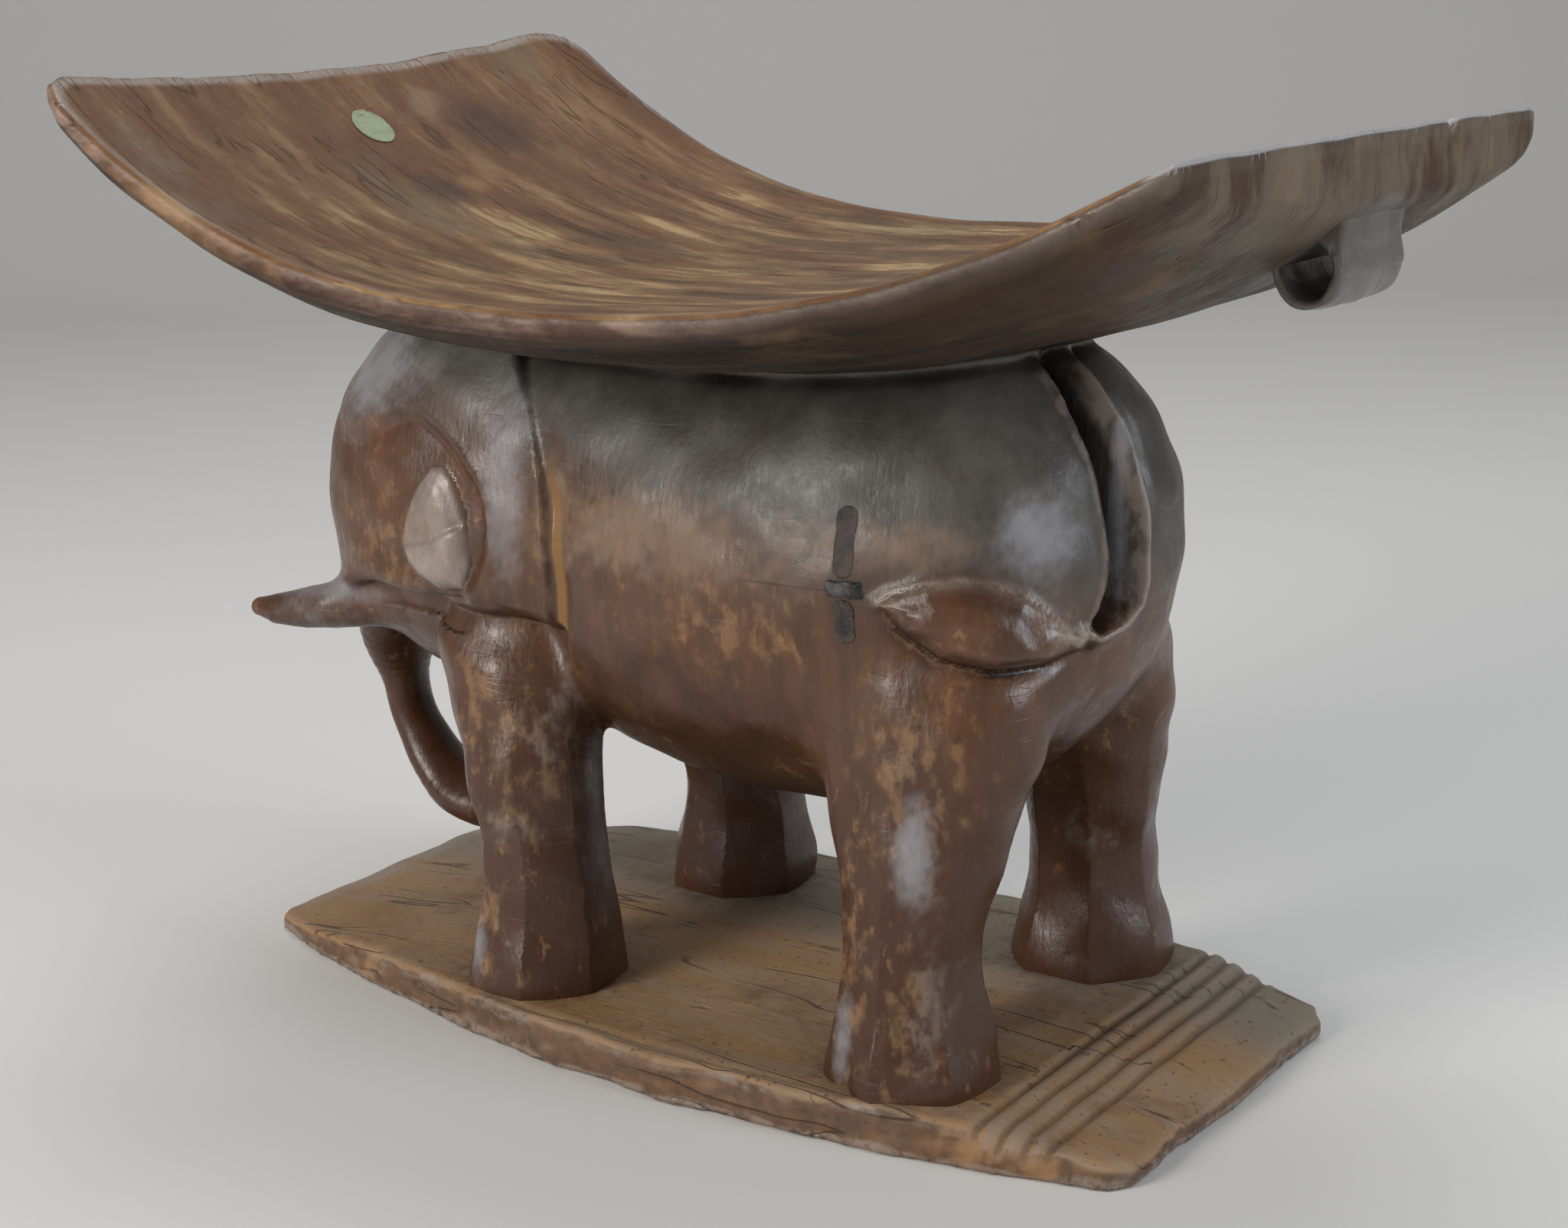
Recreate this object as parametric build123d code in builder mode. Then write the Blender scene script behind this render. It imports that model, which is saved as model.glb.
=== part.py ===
"""Carved elephant stool: a hardwood stool carved as an elephant that carries the curved seat.

The real stool is one block of wood, so the solids here are its carved forms: the seat, the
base, the animal's body, head, limbs and features, each fitted to the one that carries it.
The iron staple, the two inlaid repair strips and the paper label are separate real pieces.

Units are millimetres. +Z is up, the head points to -X, the tail to +X, and the animal's left
side faces -Y. The origin is on the floor, under the middle of the bounding box.
"""

import os
from math import cos, pi

from build123d import *

os.makedirs("parts", exist_ok=True)

# ---- seat -----------------------------------------------------------------------------------
seat_head_end_x = -253.0
seat_tail_end_x = 260.0
seat_low_x = 6.0
seat_low_height = 322.0
seat_head_rise = 83.0
seat_tail_rise = 56.0
seat_head_curve = 2.5
seat_tail_curve = 2.3
seat_head_half_width = 168.0
seat_tail_half_width = 157.0
seat_rim_thickness = 10.0
seat_end_rim_thickness = 15.0
seat_head_dish = 10.0
seat_tail_dish = 1.0
seat_keel_depth = 26.0
seat_end_keel_depth = 12.0
seat_end_rounding = 60.0
seat_head_corner_radius = 16.0
seat_tail_corner_radius = 10.0

# ---- carved loop under the tail end of the seat ---------------------------------------------
loop_x = 239.0
loop_y = 5.0
loop_drop = 36.5
loop_outer_radius = 13.5
loop_hole_radius = 10.0
loop_length = 54.0
loop_cover = 8.0

# ---- base -----------------------------------------------------------------------------------
base_head_end_x = -260.0
base_tail_end_x = 212.0
base_near_head_half_width = 60.0
base_far_head_half_width = 100.0
base_bow_half_width = 117.0
base_tail_half_width = 91.0
base_thickness = 19.0
base_head_edge_thickness = 6.0
base_tail_edge_thickness = 8.0
base_flat_start_x = -124.0
base_flat_end_x = 146.0
base_corner_radius = 7.0
groove_count = 4
groove_start_x = 154.0
groove_pitch = 11.0
groove_width = 2.6
groove_depth = 1.4
groove_margin = 12.0

# ---- torso ----------------------------------------------------------------------------------
chest_x = -96.0
rump_x = 174.0
torso_half_width = 93.0
belly_height = 100.0
back_drop = 10.0
rump_lift = 14.0

# ---- head -----------------------------------------------------------------------------------
head_centre_x = -128.0
head_half_length = 107.0
head_half_width = 82.0
head_back_x = -60.0
head_bottom_height = 138.0
head_top_drop = 16.0

# ---- ears and eyes: outlines are (x, z) seen from the side ------------------------------------
ear_thickness = 7.0
ear_top = (-120.0, 286.0)
ear_crown = (-150.0, 262.0)
ear_notch = (-101.0, 234.0)
ear_inner = (-91.0, 206.0)
ear_inner_foot = (-93.0, 190.0)
ear_lip_front = (-140.0, 200.0)
ear_lip_low = (-104.0, 181.0)
ear_lip_back = (-62.0, 176.0)
ear_back = (-57.0, 215.0)
ear_back_top = (-84.0, 282.0)
eye_thickness = 3.0
eye_top = (-121.0, 238.0)
eye_front_bulge = (-140.0, 219.0)
eye_front_corner = (-137.0, 201.0)
eye_back_bulge = (-93.0, 206.0)
eye_foot = (-99.0, 187.0)

# ---- tusks and trunk: points are (x, y, z), with y measured outward from the middle ----------
tusk_root = (-196.0, 46.0, 160.0)
tusk_middle = (-228.0, 54.0, 155.0)
tusk_tip = (-260.0, 60.0, 154.5)
tusk_root_radius = 13.0
tusk_middle_radius = 10.0
tusk_tip_radius = 3.6
trunk_root = (-222.0, 0.0, 160.0)
trunk_waist = (-223.0, 0.0, 104.0)
trunk_bend = (-193.0, 0.0, 65.0)
trunk_tip = (-160.0, 0.0, 74.0)
trunk_root_radius = 17.0
trunk_waist_radius = 8.5
trunk_bend_radius = 12.5
trunk_tip_radius = 8.0

# ---- legs -----------------------------------------------------------------------------------
front_foot_x = -80.0
hind_foot_x = 108.0
foot_y = 71.0
foot_radius = 34.0
foot_rim_height = 9.0
foot_bevel = 1.0
ankle_height = 62.0
ankle_radius = 26.5
leg_swell_curve = 1.6
shoulder_height = 170.0
shoulder_half_length = 42.0
shoulder_half_width = 31.0
shoulder_shift = -24.0
shoulder_lean = 12.0
shoulder_top_height = 192.0
thigh_height = 160.0
left_thigh_half_length = 51.0
right_thigh_half_length = 44.0
thigh_half_width = 34.0
thigh_shift = -2.0
thigh_lean = 19.0
thigh_top_height = 204.0

# ---- tail: (y, z) seen from behind; tuft: (along, z) seen square on from the left rear corner -
tail_proud = 7.0
tail_left_top = (-17.0, 300.0)
tail_left_bend = (-15.0, 208.0)
tail_left_turn = (-25.0, 196.0)
tail_left_end = (-46.0, 200.0)
tail_right_top = (-3.0, 300.0)
tail_right_bend = (4.0, 204.0)
tail_right_turn = (-10.0, 178.0)
tail_right_end = (-46.0, 185.0)
tuft_proud = 9.0
tuft_tip = (10.0, 207.0)
tuft_crown = (44.0, 220.0)
tuft_stem_top = (84.0, 200.0)
tuft_stem_foot = (84.0, 185.0)
tuft_belly = (46.0, 181.0)

# ---- repair and label -----------------------------------------------------------------------
repair_x = 89.0
repair_height = 214.0
inlay_width = 8.0
inlay_depth = 6.0
upper_inlay_length = 31.0
lower_inlay_length = 22.0
staple_width = 13.0
staple_height = 4.0
staple_proud = 2.0
staple_prong_length = 9.0
staple_gap = 2.0
label_x = -212.0
label_y = -12.0
label_length = 19.0
label_width = 13.0
label_thickness = 0.4
label_gap = 0.2


def mix(start, end, share):
    """The value that lies a share of the way from start to end."""
    return start + (end - start) * share


def rim_height(x):
    """Height of the seat's rim above the floor: it sweeps up to both ends."""
    if x < seat_low_x:
        share = (seat_low_x - x) / (seat_low_x - seat_head_end_x)
        return seat_low_height + seat_head_rise * share**seat_head_curve
    share = (x - seat_low_x) / (seat_tail_end_x - seat_low_x)
    return seat_low_height + seat_tail_rise * share**seat_tail_curve


def end_share(x):
    """0 in the middle of the seat's length and 1 at either end."""
    half_length = (seat_tail_end_x - seat_head_end_x) / 2
    middle_x = (seat_tail_end_x + seat_head_end_x) / 2
    return min(1.0, abs(x - middle_x) / half_length)


def rim_thickness(x):
    """Thickness of the seat at its long edges."""
    return mix(seat_rim_thickness, seat_end_rim_thickness, end_share(x) ** 2)


def dish_depth(x):
    """How far the middle of the seat's top lies below its rim."""
    share = (x - seat_head_end_x) / (seat_tail_end_x - seat_head_end_x)
    return mix(seat_head_dish, seat_tail_dish, share)


def keel_depth(x):
    """How far the middle of the underside hangs below the rim's lower edge."""
    end_distance = min(x - seat_head_end_x, seat_tail_end_x - x)
    rounding_share = min(1.0, max(0.0, 1 - end_distance / seat_end_rounding))
    return mix(seat_keel_depth, seat_end_keel_depth, rounding_share**2)


def seat_half_width(x):
    """Half the seat's width, tapering a little from the head end to the tail end."""
    share = (x - seat_head_end_x) / (seat_tail_end_x - seat_head_end_x)
    return mix(seat_head_half_width, seat_tail_half_width, share)


# ---- seat: a dished plank with upswept ends and a full underside ----------------------------
seat_station_count = 17
seat_end_margin = 4.0
with BuildPart() as seat:
    for index in range(seat_station_count):
        station_share = (1 - cos(pi * index / (seat_station_count - 1))) / 2
        first_x = seat_head_end_x - seat_end_margin
        station_x = mix(first_x, seat_tail_end_x + seat_end_margin, station_share)
        rim_z = rim_height(station_x)
        edge_z = rim_z - rim_thickness(station_x)
        keel_z = edge_z - keel_depth(station_x)
        dish_z = rim_z - dish_depth(station_x)
        half_width = seat_half_width(station_x)
        with BuildSketch(Plane.YZ.offset(station_x)):
            with BuildLine():
                ThreePointArc((-half_width, rim_z), (0, dish_z), (half_width, rim_z))
                Line((half_width, rim_z), (half_width, edge_z))
                ThreePointArc((half_width, edge_z), (0, keel_z), (-half_width, edge_z))
                Line((-half_width, edge_z), (-half_width, rim_z))
            make_face()
    loft()
    with BuildSketch(Plane.XY) as seat_outline:
        with BuildLine():
            Polyline(
                (seat_head_end_x, -seat_head_half_width),
                (seat_tail_end_x, -seat_tail_half_width),
                (seat_tail_end_x, seat_tail_half_width),
                (seat_head_end_x, seat_head_half_width),
                close=True,
            )
        make_face()
        outline_corners = seat_outline.vertices().group_by(Axis.X)
        fillet(outline_corners[0], radius=seat_head_corner_radius)
        fillet(outline_corners[-1], radius=seat_tail_corner_radius)
    extrude(amount=2 * (seat_low_height + seat_head_rise), mode=Mode.INTERSECT)
seat.part.label = "seat"
export_step(seat.part, "parts/seat.step")

# ---- seat loop: a strap of wood carved under the tail end, pierced from side to side --------
loop_centre_z = rim_height(loop_x) - loop_drop
lug_height = loop_drop - dish_depth(loop_x) - loop_cover
with BuildPart() as seat_loop:
    with BuildSketch(Plane.XZ.offset(-loop_y - loop_length / 2)):
        with Locations((loop_x, loop_centre_z)):
            Circle(loop_outer_radius)
        with Locations((loop_x, loop_centre_z + lug_height / 2)):
            Rectangle(2 * loop_outer_radius, lug_height)
        with Locations((loop_x, loop_centre_z)):
            Circle(loop_hole_radius, mode=Mode.SUBTRACT)
    extrude(amount=loop_length)
    add(seat.part, mode=Mode.SUBTRACT)
seat_loop.part.label = "seat_loop"
export_step(seat_loop.part, "parts/seat_loop.step")

# ---- base: a plank bowed along both sides, thinner at its ends, with grooves at the tail ----
base_middle_x = (base_head_end_x + base_tail_end_x) / 2
base_cut_half_width = base_bow_half_width + base_corner_radius
with BuildPart() as base:
    with BuildSketch(Plane.XY) as base_outline:
        with BuildLine():
            near_side = ThreePointArc(
                (base_head_end_x, -base_near_head_half_width),
                (base_middle_x, -base_bow_half_width),
                (base_tail_end_x, -base_tail_half_width),
            )
            far_side = ThreePointArc(
                (base_tail_end_x, base_tail_half_width),
                (base_middle_x, base_bow_half_width),
                (base_head_end_x, base_far_head_half_width),
            )
            Line(near_side @ 1, far_side @ 0)
            Line(far_side @ 1, near_side @ 0)
        make_face()
        fillet(base_outline.vertices(), radius=base_corner_radius)
    extrude(amount=base_thickness)
    with BuildSketch(Plane.XZ.offset(-base_cut_half_width)):
        with BuildLine():
            head_slope = Spline(
                (base_head_end_x, base_head_edge_thickness),
                (base_flat_start_x, base_thickness),
                tangents=[(1, 0.2), (1, 0)],
            )
            flat_top = Line(head_slope @ 1, (base_flat_end_x, base_thickness))
            tail_slope = Spline(
                flat_top @ 1,
                (base_tail_end_x, base_tail_edge_thickness),
                tangents=[(1, 0), (1, -0.35)],
            )
            Polyline(tail_slope @ 1, (base_tail_end_x, 0), (base_head_end_x, 0), head_slope @ 0)
        make_face()
    extrude(amount=2 * base_cut_half_width, mode=Mode.INTERSECT)
    for index in range(groove_count):
        groove_x = groove_start_x + index * groove_pitch
        slope_share = (groove_x - base_flat_end_x) / (base_tail_end_x - base_flat_end_x)
        slope_height = mix(base_thickness, base_tail_edge_thickness, slope_share**1.5)
        with BuildSketch(Plane.XY.offset(slope_height - groove_depth)):
            with Locations((groove_x, 0)):
                Rectangle(groove_width, 2 * (base_tail_half_width - groove_margin))
        extrude(amount=base_thickness, mode=Mode.SUBTRACT)
base.part.label = "base"
export_step(base.part, "parts/base.step")

# ---- torso form: the barrel of the body, before anything is let into it ---------------------
# Each station gives its share of the way from chest to rump, its shares of the body's half
# width and half height, and how much of the rump's lift its middle has.
torso_stations = (
    (0.00, 0.70, 0.76, 0.55),
    (0.16, 0.88, 0.92, 0.10),
    (0.36, 0.97, 1.00, 0.00),
    (0.56, 1.00, 0.99, 0.10),
    (0.74, 0.98, 0.95, 0.35),
    (0.86, 0.86, 0.85, 0.70),
    (0.94, 0.64, 0.66, 1.00),
    (0.985, 0.36, 0.40, 1.15),
    (1.00, 0.10, 0.14, 1.20),
)


torso_top_height = seat_low_height - back_drop
torso_centre_height = mix(belly_height, torso_top_height, 0.5)
torso_half_height = mix(-belly_height, torso_top_height, 0.5)


def barrel(growth):
    """The body's barrel, larger all round by the growth given."""
    with BuildPart() as form:
        for share, width_share, height_share, lift_share in torso_stations:
            station_x = mix(chest_x, rump_x + growth, share)
            centre_z = torso_centre_height + lift_share * rump_lift
            with BuildSketch(Plane.YZ.offset(station_x)):
                with Locations((0, centre_z)):
                    Ellipse(
                        torso_half_width * width_share + growth,
                        torso_half_height * height_share + growth,
                    )
        loft()
    return form.part


torso_form = barrel(0)

# ---- repairs: two dark strips let into the left flank and an iron staple between them -------
with BuildPart() as iron_staple:
    with BuildSketch(Plane.XZ.offset(torso_half_width - staple_proud)):
        with Locations((repair_x, repair_height)):
            Rectangle(staple_width, staple_height)
    extrude(amount=2 * staple_proud)
    with BuildSketch(Plane.XZ.offset(torso_half_width - staple_prong_length)):
        with Locations((repair_x, repair_height)):
            with GridLocations(staple_width - staple_height, 0, 2, 1):
                Rectangle(staple_height, staple_height)
    extrude(amount=staple_prong_length)
iron_staple.part.label = "iron_staple"
export_step(iron_staple.part, "parts/iron_staple.step")


def inlay_pocket(low_height, high_height):
    """The long rounded recess that one strip fills, running inward from outside the flank."""
    with BuildPart() as pocket:
        with BuildSketch(Plane.XZ.offset(torso_half_width - inlay_depth)):
            with Locations((repair_x, mix(low_height, high_height, 0.5))):
                SlotOverall(high_height - low_height, inlay_width, rotation=90)
        extrude(amount=torso_half_width)
    return pocket.part


upper_inlay_foot = repair_height + staple_height / 2 + staple_gap
lower_inlay_top = repair_height - staple_height / 2 - staple_gap
upper_pocket = inlay_pocket(upper_inlay_foot, upper_inlay_foot + upper_inlay_length)
lower_pocket = inlay_pocket(lower_inlay_top - lower_inlay_length, lower_inlay_top)

with BuildPart() as repair_inlay_upper:
    add(torso_form)
    add(upper_pocket, mode=Mode.INTERSECT)
repair_inlay_upper.part.label = "repair_inlay_upper"
export_step(repair_inlay_upper.part, "parts/repair_inlay_upper.step")

with BuildPart() as repair_inlay_lower:
    add(torso_form)
    add(lower_pocket, mode=Mode.INTERSECT)
repair_inlay_lower.part.label = "repair_inlay_lower"
export_step(repair_inlay_lower.part, "parts/repair_inlay_lower.step")

# ---- torso: the form with the seat, the strips and the staple let into it -------------------
with BuildPart() as torso:
    add(torso_form)
    add(seat.part, mode=Mode.SUBTRACT)
    add(upper_pocket, mode=Mode.SUBTRACT)
    add(lower_pocket, mode=Mode.SUBTRACT)
    add(iron_staple.part, mode=Mode.SUBTRACT)
torso.part.label = "torso"
export_step(torso.part, "parts/torso.step")

# ---- head: a dome with a flat cheek on each side --------------------------------------------
# Each station gives its share of the head's height, then its front and its half width as
# shares of the head's half length and half width.
head_stations = (
    (0.00, 0.62, 0.66),
    (0.16, 0.93, 0.88),
    (0.37, 1.00, 1.00),
    (0.57, 1.00, 1.00),
    (0.74, 0.86, 0.93),
    (0.88, 0.66, 0.80),
    (1.00, 0.40, 0.62),
)


head_top_height = seat_low_height - head_top_drop


def head_dome(growth):
    """A half ellipse in front of straight sides at each station, larger by the growth given."""
    with BuildPart() as form:
        for share, front_share, width_share in head_stations:
            station_z = mix(head_bottom_height - growth, head_top_height + growth, share)
            half_width = head_half_width * width_share + growth
            with BuildSketch(Plane.XY.offset(station_z)):
                with BuildLine():
                    EllipticalCenterArc(
                        (head_centre_x, 0),
                        head_half_length * front_share + growth,
                        half_width,
                        start_angle=90,
                        arc_size=180,
                    )
                    Polyline(
                        (head_centre_x, -half_width),
                        (head_back_x, -half_width),
                        (head_back_x, half_width),
                        (head_centre_x, half_width),
                    )
                make_face()
        loft()
    return form.part


head_form = head_dome(0)
with BuildPart() as head:
    add(head_form)
    add(torso_form, mode=Mode.SUBTRACT)
    add(seat.part, mode=Mode.SUBTRACT)
head.part.label = "head"
export_step(head.part, "parts/head.step")

# ---- ears and eyes: raised plates that follow the cheek, the eye lower than the ear ---------
side_inset = head_half_width / 3


def side_prism(outline):
    """A closed outline on the left side, run outward; each entry is start, middle, end."""
    with BuildPart() as prism:
        with BuildSketch(Plane.XZ.offset(side_inset)):
            with BuildLine():
                for start, middle, end in outline:
                    if middle is None:
                        Line(start, end)
                    else:
                        ThreePointArc(start, middle, end)
            make_face()
        extrude(amount=head_half_width)
    return prism.part


ear_prism = side_prism(
    (
        (ear_notch, ear_inner, ear_inner_foot),
        (ear_inner_foot, None, ear_lip_front),
        (ear_lip_front, ear_lip_low, ear_lip_back),
        (ear_lip_back, ear_back, ear_back_top),
        (ear_back_top, None, ear_top),
        (ear_top, None, ear_crown),
        (ear_crown, None, ear_notch),
    )
)
eye_prism = side_prism(
    (
        (eye_top, eye_front_bulge, eye_front_corner),
        (eye_front_corner, None, eye_foot),
        (eye_foot, eye_back_bulge, eye_top),
    )
)

with BuildPart() as left_ear:
    add(head_dome(ear_thickness))
    add(ear_prism, mode=Mode.INTERSECT)
    add(head_form, mode=Mode.SUBTRACT)
    add(torso_form, mode=Mode.SUBTRACT)
    add(seat.part, mode=Mode.SUBTRACT)
left_ear.part.label = "left_ear"
export_step(left_ear.part, "parts/left_ear.step")

with BuildPart() as left_eye:
    add(head_dome(eye_thickness))
    add(eye_prism, mode=Mode.INTERSECT)
    add(head_form, mode=Mode.SUBTRACT)
    add(ear_prism, mode=Mode.SUBTRACT)
left_eye.part.label = "left_eye"
export_step(left_eye.part, "parts/left_eye.step")

with BuildPart() as right_ear:
    mirror(left_ear.part, about=Plane.XZ)
right_ear.part.label = "right_ear"
export_step(right_ear.part, "parts/right_ear.step")

with BuildPart() as right_eye:
    mirror(left_eye.part, about=Plane.XZ)
right_eye.part.label = "right_eye"
export_step(right_eye.part, "parts/right_eye.step")

# ---- tusks: tapered pegs that spread a little as they leave the cheek -----------------------
tusk_stations = (
    (tusk_root, tusk_root_radius),
    (tusk_middle, tusk_middle_radius),
    (tusk_tip, tusk_tip_radius),
)
with BuildPart() as left_tusk:
    for (x, y, z), radius in tusk_stations:
        with BuildSketch(Plane.YZ.offset(x)):
            with Locations((-y, z)):
                Circle(radius)
    loft()
    tip_face = left_tusk.faces().sort_by(Axis.X)[0]
    fillet(tip_face.edges(), radius=tusk_tip_radius / 2)
    add(head_form, mode=Mode.SUBTRACT)
left_tusk.part.label = "left_tusk"
export_step(left_tusk.part, "parts/left_tusk.step")

with BuildPart() as right_tusk:
    mirror(left_tusk.part, about=Plane.XZ)
right_tusk.part.label = "right_tusk"
export_step(right_tusk.part, "parts/right_tusk.step")

# ---- trunk: hangs from the jaw and curls back towards the front legs ------------------------
trunk_path = (
    (Vector(*trunk_root), trunk_root_radius),
    (Vector(*trunk_waist), trunk_waist_radius),
    (Vector(*trunk_bend), trunk_bend_radius),
    (Vector(*trunk_tip), trunk_tip_radius),
)
with BuildPart() as trunk:
    with BuildLine(mode=Mode.PRIVATE):
        trunk_curve = Spline(*(point for point, radius in trunk_path))
    trunk_knots = [trunk_curve.param_at_point(point) for point, radius in trunk_path]
    for index in range(2 * len(trunk_path) - 1):
        first = index // 2
        second = min(first + index % 2, len(trunk_path) - 1)
        along = mix(trunk_knots[first], trunk_knots[second], 0.5 * (index % 2))
        radius = mix(trunk_path[first][1], trunk_path[second][1], 0.5 * (index % 2))
        section_plane = Plane(
            origin=trunk_curve @ along, x_dir=(0, 1, 0), z_dir=trunk_curve % along
        )
        with BuildSketch(section_plane):
            Circle(radius)
    loft()
    add(head_form, mode=Mode.SUBTRACT)
trunk.part.label = "trunk"
export_step(trunk.part, "parts/trunk.step")

# ---- tail: a strap that follows the rump down, hooks to the left and ends in a leaf tuft ----
with BuildPart() as tail_prism:
    with BuildSketch(Plane.YZ):
        with BuildLine():
            Line(tail_left_top, tail_left_bend)
            ThreePointArc(tail_left_bend, tail_left_turn, tail_left_end)
            Line(tail_left_end, tail_right_end)
            ThreePointArc(tail_right_end, tail_right_turn, tail_right_bend)
            Line(tail_right_bend, tail_right_top)
            Line(tail_right_top, tail_left_top)
        make_face()
    extrude(amount=2 * rump_x)

with BuildPart() as tuft_prism:
    with BuildSketch(Plane(origin=(0, 0, 0), x_dir=(1, 1, 0), z_dir=(1, -1, 0))):
        with BuildLine():
            ThreePointArc(tuft_tip, tuft_crown, tuft_stem_top)
            Line(tuft_stem_top, tuft_stem_foot)
            ThreePointArc(tuft_stem_foot, tuft_belly, tuft_tip)
        make_face()
    extrude(amount=2 * rump_x)

with BuildPart() as tail_tuft:
    add(barrel(tuft_proud))
    add(tuft_prism.part, mode=Mode.INTERSECT)
    add(torso_form, mode=Mode.SUBTRACT)
tail_tuft.part.label = "tail_tuft"
export_step(tail_tuft.part, "parts/tail_tuft.step")

with BuildPart() as tail:
    add(barrel(tail_proud))
    add(tail_prism.part, mode=Mode.INTERSECT)
    add(torso_form, mode=Mode.SUBTRACT)
    add(tail_tuft.part, mode=Mode.SUBTRACT)
    add(seat.part, mode=Mode.SUBTRACT)
tail.part.label = "tail"
export_step(tail.part, "parts/tail.step")


# ---- legs: columns that swell upwards into the shoulder or the thigh ------------------------
def foot_sections(foot_x):
    """The flared foot and the ankle, as (height, x, y, half_length, half_width)."""
    flare_height = base_thickness + foot_rim_height
    waist_radius = mix(foot_radius, ankle_radius, 0.62)
    sole_radius = foot_radius - foot_bevel
    return [
        (base_thickness, foot_x, foot_y, sole_radius, sole_radius),
        (flare_height, foot_x, foot_y, foot_radius, foot_radius),
        (mix(flare_height, ankle_height, 0.5), foot_x, foot_y, waist_radius, waist_radius),
        (ankle_height, foot_x, foot_y, ankle_radius, ankle_radius),
    ]


def leg_column(foot_x, side, swell_height, half_length, half_width, shift, lean, top_height):
    """One leg from the base up into the body; side is -1 on the left and 1 on the right."""
    sections = foot_sections(foot_x)
    for share in (0.25, 0.5, 0.75, 1.0):
        swell = share**leg_swell_curve
        sections.append(
            (
                mix(ankle_height, swell_height, share),
                foot_x + shift * swell,
                foot_y - lean * swell,
                mix(ankle_radius, half_length, swell),
                mix(ankle_radius, half_width, swell),
            )
        )
    top_y = foot_y - 1.8 * lean
    sections.append((top_height, foot_x + shift, top_y, 0.7 * half_length, 0.6 * half_width))
    with BuildPart() as column:
        for height, x, y, section_half_length, section_half_width in sections:
            with BuildSketch(Plane.XY.offset(height)):
                with Locations((x, side * y)):
                    Ellipse(section_half_length, section_half_width)
        loft()
    return column.part


front_shape = (
    shoulder_height,
    shoulder_half_length,
    shoulder_half_width,
    shoulder_shift,
    shoulder_lean,
    shoulder_top_height,
)
left_hind_shape = (
    thigh_height,
    left_thigh_half_length,
    thigh_half_width,
    thigh_shift,
    thigh_lean,
    thigh_top_height,
)
right_hind_shape = (
    thigh_height,
    right_thigh_half_length,
    thigh_half_width,
    thigh_shift,
    thigh_lean,
    thigh_top_height,
)
leg_neighbours = (
    torso_form,
    head_form,
    left_ear.part,
    right_ear.part,
    left_eye.part,
    right_eye.part,
    trunk.part,
    tail.part,
    tail_tuft.part,
)
for leg_name, foot_x, side, shape in (
    ("front_left_leg", front_foot_x, -1, front_shape),
    ("front_right_leg", front_foot_x, 1, front_shape),
    ("hind_left_leg", hind_foot_x, -1, left_hind_shape),
    ("hind_right_leg", hind_foot_x, 1, right_hind_shape),
):
    with BuildPart() as leg:
        add(leg_column(foot_x, side, *shape))
        for neighbour in leg_neighbours:
            add(neighbour, mode=Mode.SUBTRACT)
    leg.part.label = leg_name
    export_step(leg.part, f"parts/{leg_name}.step")

# ---- paper label: a bare oval stuck flat on the seat near its head end ----------------------
label_half_width = seat_half_width(label_x)
label_dish = dish_depth(label_x) * (1 - (label_y / label_half_width) ** 2)
label_slope = (rim_height(label_x + 1) - rim_height(label_x - 1)) / 2
label_cross_slope = 2 * dish_depth(label_x) * label_y / label_half_width**2
label_plane = Plane(
    origin=(label_x, label_y, rim_height(label_x) - label_dish),
    x_dir=(1, 0, label_slope),
    z_dir=(-label_slope, -label_cross_slope, 1),
)
with BuildPart() as paper_label:
    with BuildSketch(label_plane.offset(label_gap)):
        Ellipse(label_width / 2, label_length / 2)
    extrude(amount=label_thickness)
paper_label.part.label = "paper_label"
export_step(paper_label.part, "parts/paper_label.step")
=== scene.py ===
"""Carved elephant stool: the worn, hand-carved surfaces over the stool's plain solids.

Lengths in the shape functions are millimetres; a finished mesh is in metres.
"""

from math import cos, pi, radians, sin

import bpy
import numpy as np
from bpy.props import FloatProperty, FloatVectorProperty, IntProperty, PointerProperty
from mathutils import Matrix, Vector


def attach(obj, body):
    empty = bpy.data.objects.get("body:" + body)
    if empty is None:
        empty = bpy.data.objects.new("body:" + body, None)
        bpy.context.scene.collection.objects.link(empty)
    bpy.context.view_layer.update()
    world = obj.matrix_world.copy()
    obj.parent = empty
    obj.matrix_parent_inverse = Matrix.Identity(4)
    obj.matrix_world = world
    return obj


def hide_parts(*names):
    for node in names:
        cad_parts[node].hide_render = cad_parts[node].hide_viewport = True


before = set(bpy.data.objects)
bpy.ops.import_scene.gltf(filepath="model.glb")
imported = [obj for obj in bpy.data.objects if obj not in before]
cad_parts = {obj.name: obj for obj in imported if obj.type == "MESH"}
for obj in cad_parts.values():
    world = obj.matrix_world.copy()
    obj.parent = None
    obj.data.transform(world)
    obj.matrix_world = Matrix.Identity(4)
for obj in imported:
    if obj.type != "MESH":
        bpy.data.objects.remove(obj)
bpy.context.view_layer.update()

bl_info = {
    "name": "Carved Elephant Stool",
    "version": (1, 0, 0),
    "blender": (4, 5, 0),
    "location": "3D View > Sidebar > Stool",
    "description": "Carves and finishes an elephant stool over its solids",
    "category": "Object",
}

MM = 0.001
# Above 1 this widens every spacing, for a quicker and coarser build.
SPACING = 1.0


# ---- settings a user would change -------------------------------------------------------------
def length(name, description, default):
    """A length in metres, given in millimetres."""
    return FloatProperty(name=name, description=description, default=default * MM, unit="LENGTH")


def colour(name, description, default):
    """A plain linear colour."""
    return FloatVectorProperty(
        name=name, description=description, default=default, subtype="COLOR", min=0, max=1
    )


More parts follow.
